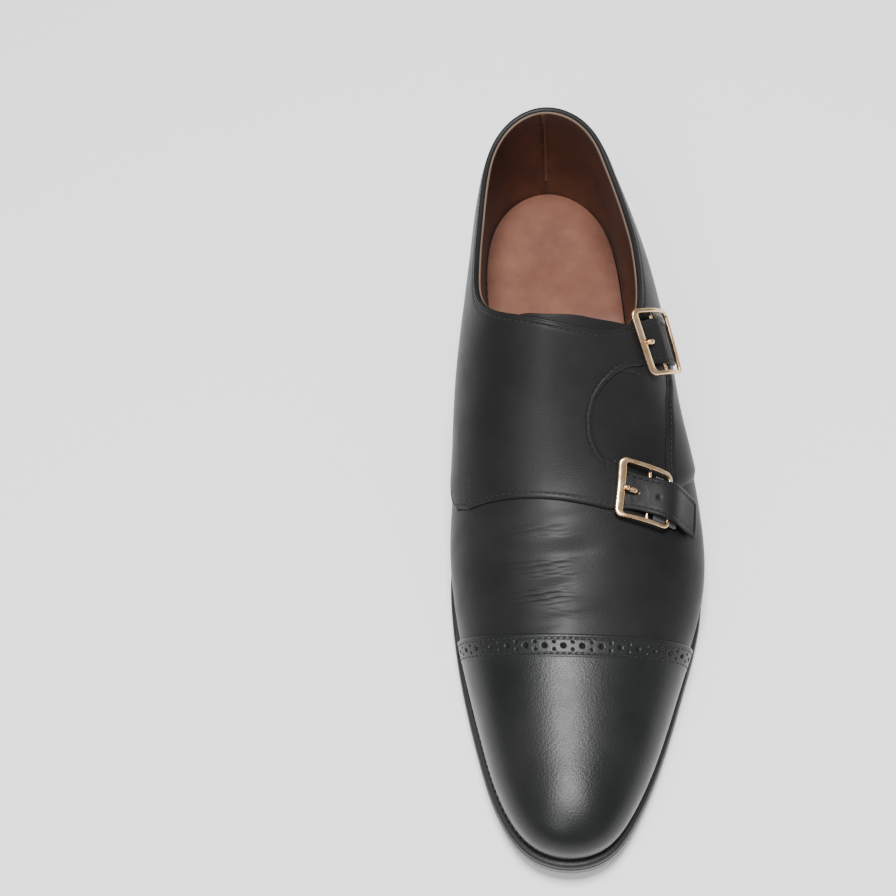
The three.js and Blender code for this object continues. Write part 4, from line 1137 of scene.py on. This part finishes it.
rim, rim_out, rim_up = collar_path(1.1)
binding = sweep("collar_binding", rim, rim_out, rim_up, [
    (0.9, -0.85), (1.22, -0.75), (1.36, -0.45), (1.36, 0.0), (1.1, 0.36), (0.4, 0.50),
    (-0.35, 0.44), (-0.65, 0.22), (-0.7, -0.6), (0.4, -0.8),
], CALF)
trim = sweep("lining_raw_edge", rim, rim_out, rim_up, [
    (-0.68, 0.20), (-0.9, 0.32), (-1.15, 0.28), (-1.45, 0.1), (-1.64, -0.15), (-1.3, -0.5), (-0.75, -0.4),
], LINING_EDGE)
dress(binding, "upper")
dress(trim, "upper")


# Back seam inside: a narrow strip over the lining's join, wider as a tab below the collar
seam_turn = np.linspace(float(collar_round(0.0, 1)) + 0.002, 0.93, 90)
seam_line = lifted(np.zeros(90), seam_turn, np.full(90, -WALL - 0.02))
seam_out = last_normal(np.zeros(90), seam_turn)
seam_side = unit(np.cross(np.gradient(seam_line, axis=0), seam_out))
seam_half = 0.55 + 0.75 * smooth((11 - run_length(seam_line)) / 1.0)
strip_edge = ((-1, 0.1), (-1, -0.12), (-0.7, -0.24), (0.7, -0.24), (1, -0.12), (1, 0.1))
seam_profile = np.stack([np.stack([a * seam_half, np.full(90, c)], -1) for a, c in strip_edge], 1)
back_strip = sweep("back_seam_strip", seam_line, seam_side, seam_out, seam_profile, STRIP, is_closed=False)
dress(back_strip, "upper")


# Sole, welt, heel and insole
def slab(name, layers, material, rings=170, strips=16, lift=None):
    """A block of layers, each a pair of sides at an inset and a height by station, walled all round."""
    parts = []
    for layer in layers:
        sides, height = layer[0], layer[1]
        if len(layer) > 2:
            s = lerp(sides["back"], layer[2], 1 - np.cos(np.linspace(0, 1, rings) * np.pi / 2))
        else:
            s = lerp(sides["back"], sides["tip"], (1 - np.cos(np.linspace(0, 1, rings) * np.pi)) / 2)
        medial, lateral = (across(sides[side], s)[:, None] for side in ("medial", "lateral"))
        x = lerp(medial, lateral, np.linspace(0, 1, strips + 1))
        s = np.broadcast_to(s[:, None], x.shape)
        rise = lift(x, s) if lift and layer is layers[-1] else 0
        parts.append(np.stack([x, HEEL_BACK - s, height(s) + rise], -1))
    solid = np.stack(parts, 1)
    faces, points, start = [], [], 0
    for grid, flip in (
        (solid[:, 0], False), (solid[:, -1], True), (solid[:, :, 0], True), (solid[:, :, -1], False),
        (solid[0], True), (solid[-1], False),
    ):
        quads = grid_faces(*grid.shape[:2]) + start
        faces.append(quads[:, ::-1] if flip else quads)
        points.append(grid.reshape(-1, 3))
        start += grid.shape[0] * grid.shape[1]
    points = np.vstack(points)
    first, whole, flat = joined(points, np.vstack(faces))
    piece = new_object(name, points[first], whole.tolist() + [list(f) for f in flat], material)
    rounding = piece.modifiers.new("corners", "EDGE_SPLIT")
    rounding.split_angle = math.radians(38)
    return piece


def flat_top(height):
    return lambda s: np.full(np.shape(s), float(height))


def from_under(rise):
    return lambda s: underside(s) + rise


outsole = slab("outsole_leather", [
    (inset_sides(0, EDGE_BREAK), from_under(0)),
    (inset_sides(0, EDGE_BREAK * 0.35), from_under(EDGE_BREAK * 0.3)),
    (inset_sides(0, 0), from_under(EDGE_BREAK)),
    (inset_sides(0, 0), from_under(OUTSOLE - EDGE_BREAK / 2)),
    (inset_sides(0, EDGE_BREAK / 2), from_under(OUTSOLE)),
], [SOLE_EDGE, SOLE_FACE])
dress(outsole, "outsole")


# The tread, which faces down, has the natural leather of the sole
TREAD_SLOPE = -0.95
sole_faces = outsole.data.polygons
sole_normals = np.empty(len(sole_faces) * 3)
sole_faces.foreach_get("normal", sole_normals)
sole_faces.foreach_set("material_index", (sole_normals.reshape(-1, 3)[:, 2] < TREAD_SLOPE).astype(np.int32))


WELT_STEPS = 900


def loop_frame(share, inset, rise):
    """Closed line round the sole at an inset and a height, with its inward and upward axes."""
    loop = inset_loop(share, inset)
    picks = np.linspace(0, len(loop), WELT_STEPS, endpoint=False).astype(int)
    s, x = loop[picks].T
    points = np.stack([x, HEEL_BACK - s, underside(s) + rise], -1)
    ahead = unit(np.roll(points, -1, 0) - np.roll(points, 1, 0))
    up = np.broadcast_to([0.0, 0.0, 1.0], ahead.shape)
    inwards = unit(np.cross(ahead, up))
    centre = np.array([4.0, -116.0, 0.0])
    if np.sum(inwards * (centre - points)) < 0:
        inwards = -inwards
    over = unit(np.cross(inwards, ahead))
    return points, inwards, over * np.sign(over[:, 2:3])


WELT_LOW = OUTSOLE + GAP
welt_line, welt_in, welt_up = loop_frame(0, 0, WELT_LOW)
margin_here = EDGE[np.linspace(0, len(EDGE), WELT_STEPS, endpoint=False).astype(int), 2]
welt_profile = np.stack([
    np.stack([np.full_like(margin_here, a) + b * margin_here, np.full_like(margin_here, c)], -1)
    for a, b, c in (
        (0.45, 0, 0.0), (0.1, 0, 0.35), (0.05, 0, 1.4), (0.25, 0, 2.3), (0.75, 0, 2.85), (1.2, 0, 3.0),
        (0.5, 0.42, 3.0), (0.9, 0.42, 2.82), (1.3, 0.42, 3.0), (-0.6, 1, 3.0), (0.2, 1, 2.7), (1.4, 1, 2.7),
        (1.4, 1, 0.0),
    )
], 1)
welt = sweep("welt_strip", welt_line, welt_in, welt_up, welt_profile, WELT_LEATHER)
dress(welt, "welt")
seam_line, _, seam_up = loop_frame(0.43, 0.7, WELT_LOW + WELT + 0.1)
front_of_heel = HEEL_BACK - seam_line[:, 1] > 0.3 * LENGTH
turned = np.roll(np.arange(len(seam_line)), -int(np.argmax(~front_of_heel)))
turned = turned[front_of_heel[turned]]
stitches("welt_stitches", [(seam_line[turned], seam_up[turned])], "welt", pitch=2.7, length=2.2, radius=0.36,
         material=WELT_THREAD, slant=0.25)


def heel_layers():
    """Four lifts with a fine groove between them, tapered to the floor."""
    lifts = 4
    low, high = TOP_PIECE + GAP, HEEL_HEIGHT - HEEL_PITCH * HEEL_LENGTH
    layers = []
    for number in range(lifts):
        for share, groove in ((0.0, 0.14), (0.04, 0.0), (0.96, 0.0), (1.0, 0.14)):
            t = (number + share) / lifts
            sides = inset_sides(0, lerp(HEEL_TAPER * 0.8, HEEL_TAPER / 4, t) + groove)
            front = HEEL_LENGTH - lerp(HEEL_TAPER, 0, t) - groove
            layers.append((sides, lambda s, t=t: lerp(low, underside(s) - GAP, t), front))
    return layers


heel = slab("heel_lifts", heel_layers(), SOLE_EDGE, rings=90, strips=10)
dress(heel, "heel_stack")
top_piece = slab("heel_top_lift", [
    (inset_sides(0, HEEL_TAPER + EDGE_BREAK / 2), flat_top(0), HEEL_LENGTH - HEEL_TAPER * 1.5),
    (inset_sides(0, HEEL_TAPER), flat_top(EDGE_BREAK / 2), HEEL_LENGTH - HEEL_TAPER * 1.3),
    (inset_sides(0, HEEL_TAPER * 0.85), flat_top(TOP_PIECE - 0.2), HEEL_LENGTH - HEEL_TAPER),
    (inset_sides(0, HEEL_TAPER * 0.85 + 0.2), flat_top(TOP_PIECE), HEEL_LENGTH - HEEL_TAPER - 0.2),
], RUBBER, rings=90, strips=10)
dress(top_piece, "heel_top_piece")


def dish(x, s):
    """Slight hollow of the heel seat and the ball from the wearer's foot."""
    return -1.1 * bell(s - 42, 30) * bell(x - 1, 22) - 0.6 * bell(s - 185, 28) * bell(x - 4, 28)


insole = slab("sock_lining", [
    (inset_sides(1, WALL + GAP), from_under(OUTSOLE + GAP)),
    (inset_sides(1, WALL + GAP), lambda s: feather(s) + INSOLE_RISE - EDGE_BREAK),
    (inset_sides(1, WALL + GAP + 0.3), lambda s: feather(s) + INSOLE_RISE - 0.2),
    (inset_sides(1, WALL + GAP + EDGE_BREAK), lambda s: feather(s) + INSOLE_RISE),
], SOCK, strips=28, lift=dish)
dress(insole, "insole")


# Buckles
def rounded_frame(half_a, half_b, corner, corner_steps=10, side_steps=16):
    """Closed path of a rectangle with round corners."""
    marks = []
    corners = ((half_a, half_b), (-half_a, half_b), (-half_a, -half_b), (half_a, -half_b))
    for number, (a, b) in enumerate(corners):
        angle = (number + np.linspace(0, 1, corner_steps)) * np.pi / 2
        marks.append(np.stack([a + corner * np.cos(angle), b + corner * np.sin(angle)], -1))
        a1, b1 = corners[(number + 1) % 4]
        t = np.linspace(0, 1, side_steps + 1)[1:-1, None]
        end = (number + 1) * np.pi / 2
        shift = corner * np.array([np.cos(end), np.sin(end)])
        marks.append(lerp(np.array([a, b]), np.array([a1, b1]), t) + shift)
    return np.vstack(marks)


def superoval(count, power):
    """Closed section |a|^power + |b|^power = 1."""
    angle = np.linspace(0, 2 * np.pi, count, endpoint=False)
    c, k = np.cos(angle), np.sin(angle)
    return np.stack([np.sign(c) * np.abs(c) ** (2 / power), np.sign(k) * np.abs(k) ** (2 / power)], -1)


def buckle(name):
    """Frame, pivot bar and prong of one buckle, laid over the strap's chart."""
    _, _, point = CHARTS[name]
    data = BUCKLES[name]
    half_a, half_b = FRAME_WIDTH / 2 - FRAME_CORNER, FRAME_LENGTH / 2 - FRAME_CORNER
    path = rounded_frame(half_a, half_b, FRAME_CORNER)
    lift = lerp(data["instep_bar"], data["outer_bar"], np.clip(0.5 + path[:, 0] / FRAME_WIDTH, 0, 1))
    lift = lift + FRAME_ARCH * np.clip(1 - (2 * path[:, 0] / FRAME_WIDTH) ** 2, 0, 1)
    points = point(path[:, 0], path[:, 1], lift)
    over = unit(point(path[:, 0], path[:, 1], lift + 1) - points)
    ahead = unit(np.roll(points, -1, 0) - np.roll(points, 1, 0))
    side = unit(np.cross(ahead, over))
    over = unit(np.cross(side, ahead))
    wide = lerp(FRAME_BAR, FRAME_WIDE_BAR, np.clip((-path[:, 0] - half_a) / FRAME_CORNER, 0, 1))
    section = superoval(20, 2.6)
    profile = section * np.stack([wide, np.full_like(wide, FRAME_BAR)], -1)[:, None]
    ring = sweep(name + "_buckle", points, side, over, profile, GOLD)
    dress(ring, name + "_buckle_frame")
    reach = FRAME_LENGTH / 2 - FRAME_BAR - GAP
    b = np.linspace(-reach, reach, 24)
    bar_points = point(np.full_like(b, PIVOT_PLACE), b, data["pivot"])
    bar_over = point(np.full_like(b, PIVOT_PLACE), b, data["pivot"] + 1) - bar_points
    bar = rod(name + "_pivot_bar", bar_points, bar_over, np.full(24, PIVOT_RADIUS), 1.0)
    top = lambda a: float(ramp(data["strap"], np.array(a))) + LEATHER + PRONG_RADIUS + GAP
    tip = -FRAME_WIDTH / 2 + FRAME_WIDE_BAR / 2
    rest = data["instep_bar"] + FRAME_BAR + PRONG_RADIUS + GAP / 3
    before = HOLE_PLACE - 1.8
    marks = [
        (PIVOT_PLACE, data["pivot"]), (HOLE_PLACE + 1.2, lerp(data["pivot"], top(HOLE_PLACE), 0.35)),
        (HOLE_PLACE - 0.2, lerp(data["pivot"], top(HOLE_PLACE), 0.9)), (before, top(before)),
        (lerp(before, tip, 0.5), lerp(top(before), rest, 0.6)), (tip, rest),
    ]
    line = curve(marks)(np.linspace(0, 1, 40))
    prong_points = point(line[:, 0], np.zeros(40), line[:, 1])
    radius = PRONG_RADIUS * np.sqrt(np.clip(1 - (np.linspace(0, 1, 40) - 0.82).clip(0) ** 2 / 0.036, 0.15, 1))
    prong_over = point(line[:, 0], np.zeros(40), line[:, 1] + 1) - prong_points
    prong = rod(name + "_prong", prong_points, prong_over, radius, 0.9)
    for piece in (bar, prong):
        dress(piece, name + "_buckle_prong")


def rod(name, points, over, radius, flatness):
    """Round bar along points, its height, towards over, flatness times its width."""
    ahead = unit(np.gradient(points, axis=0))
    side = unit(np.cross(ahead, over))
    over = np.cross(side, ahead)
    section = superoval(16, 2.0)
    profile = section[None] * np.stack([radius, radius * flatness], -1)[:, None]
    return sweep(name, points, side, over, profile, GOLD, is_closed=False)


for name in BUCKLES:
    buckle(name)

KEEPER = {"upper": (4.6, 13.5, -12.5, 7.5, 1.6), "lower": (4.8, 15, -9, 9, 1.6)}
for name, (a0, a1, b0, b1, low) in KEEPER.items():
    spot = CHARTS[name][0]
    grid_b, grid_a = np.meshgrid(np.linspace(b0, b1, 60), np.linspace(a0, a1, 30), indexing="ij")
    place, turn = spot(grid_a, grid_b)
    ribs = 0.12 * np.cos(grid_b * 2 * np.pi / 1.2)
    web = sheet(name + "_elastic", [(place, turn, low, low + ELASTIC + ribs, 0.0)], ELASTIC_WEB)
    dress(web, name + "_elastic_keeper")

# Camera, floor and lights
FOCAL_PIXELS = 1506.5
camera_data = bpy.data.cameras.new("camera")
camera_data.sensor_width = 36
camera_data.lens = 36 * FOCAL_PIXELS / 896
camera_data.clip_start = 0.01
camera = bpy.data.objects.new("camera", camera_data)
bpy.context.scene.collection.objects.link(camera)
eye = Vector((3.2, -406.8, 571.3)) * 0.001
target = Vector((-46.3, -78.5, 0.0)) * 0.001
ROLL = 0.013
forward = (target - eye).normalized()
right = forward.cross(Vector((0, 1, 0))).normalized()
up = right.cross(forward)
turned_right = math.cos(ROLL) * right + math.sin(ROLL) * up
turned_up = -math.sin(ROLL) * right + math.cos(ROLL) * up
basis = Matrix((turned_right, turned_up, -forward)).transposed()
camera.matrix_world = Matrix.Translation(eye) @ basis.to_4x4()
bpy.context.scene.camera = camera


bpy.ops.mesh.primitive_plane_add(size=6, location=(0, 0, 0))
floor = bpy.context.object
floor.name = "floor"
floor.data.materials.append(finish("pale_floor", {"Base Color": linear("#fbfbfa"), "Roughness": 0.9}))


def area_light(name, place, aim, size, power):
    data = bpy.data.lights.new(name, "AREA")
    data.shape = "RECTANGLE"
    data.size, data.size_y = size
    data.energy = power
    light = bpy.data.objects.new(name, data)
    light.location = place
    light.rotation_euler = (Vector(aim) - Vector(place)).to_track_quat("-Z", "Y").to_euler()
    bpy.context.scene.collection.objects.link(light)


area_light("ceiling_light", (0.02, -0.2, 1.6), (0.0, -0.2, 0), (0.40, 0.40), 43)
area_light("front_panel", (-0.35, -0.95, 1.35), (0, -0.12, 0.03), (0.5, 0.9), 10)
world = bpy.data.worlds.new("studio")
bpy.context.scene.world = world
world.use_nodes = True
world.node_tree.nodes["Background"].inputs["Color"].default_value = linear("#f2f4f8")
world.node_tree.nodes["Background"].inputs["Strength"].default_value = 0.45
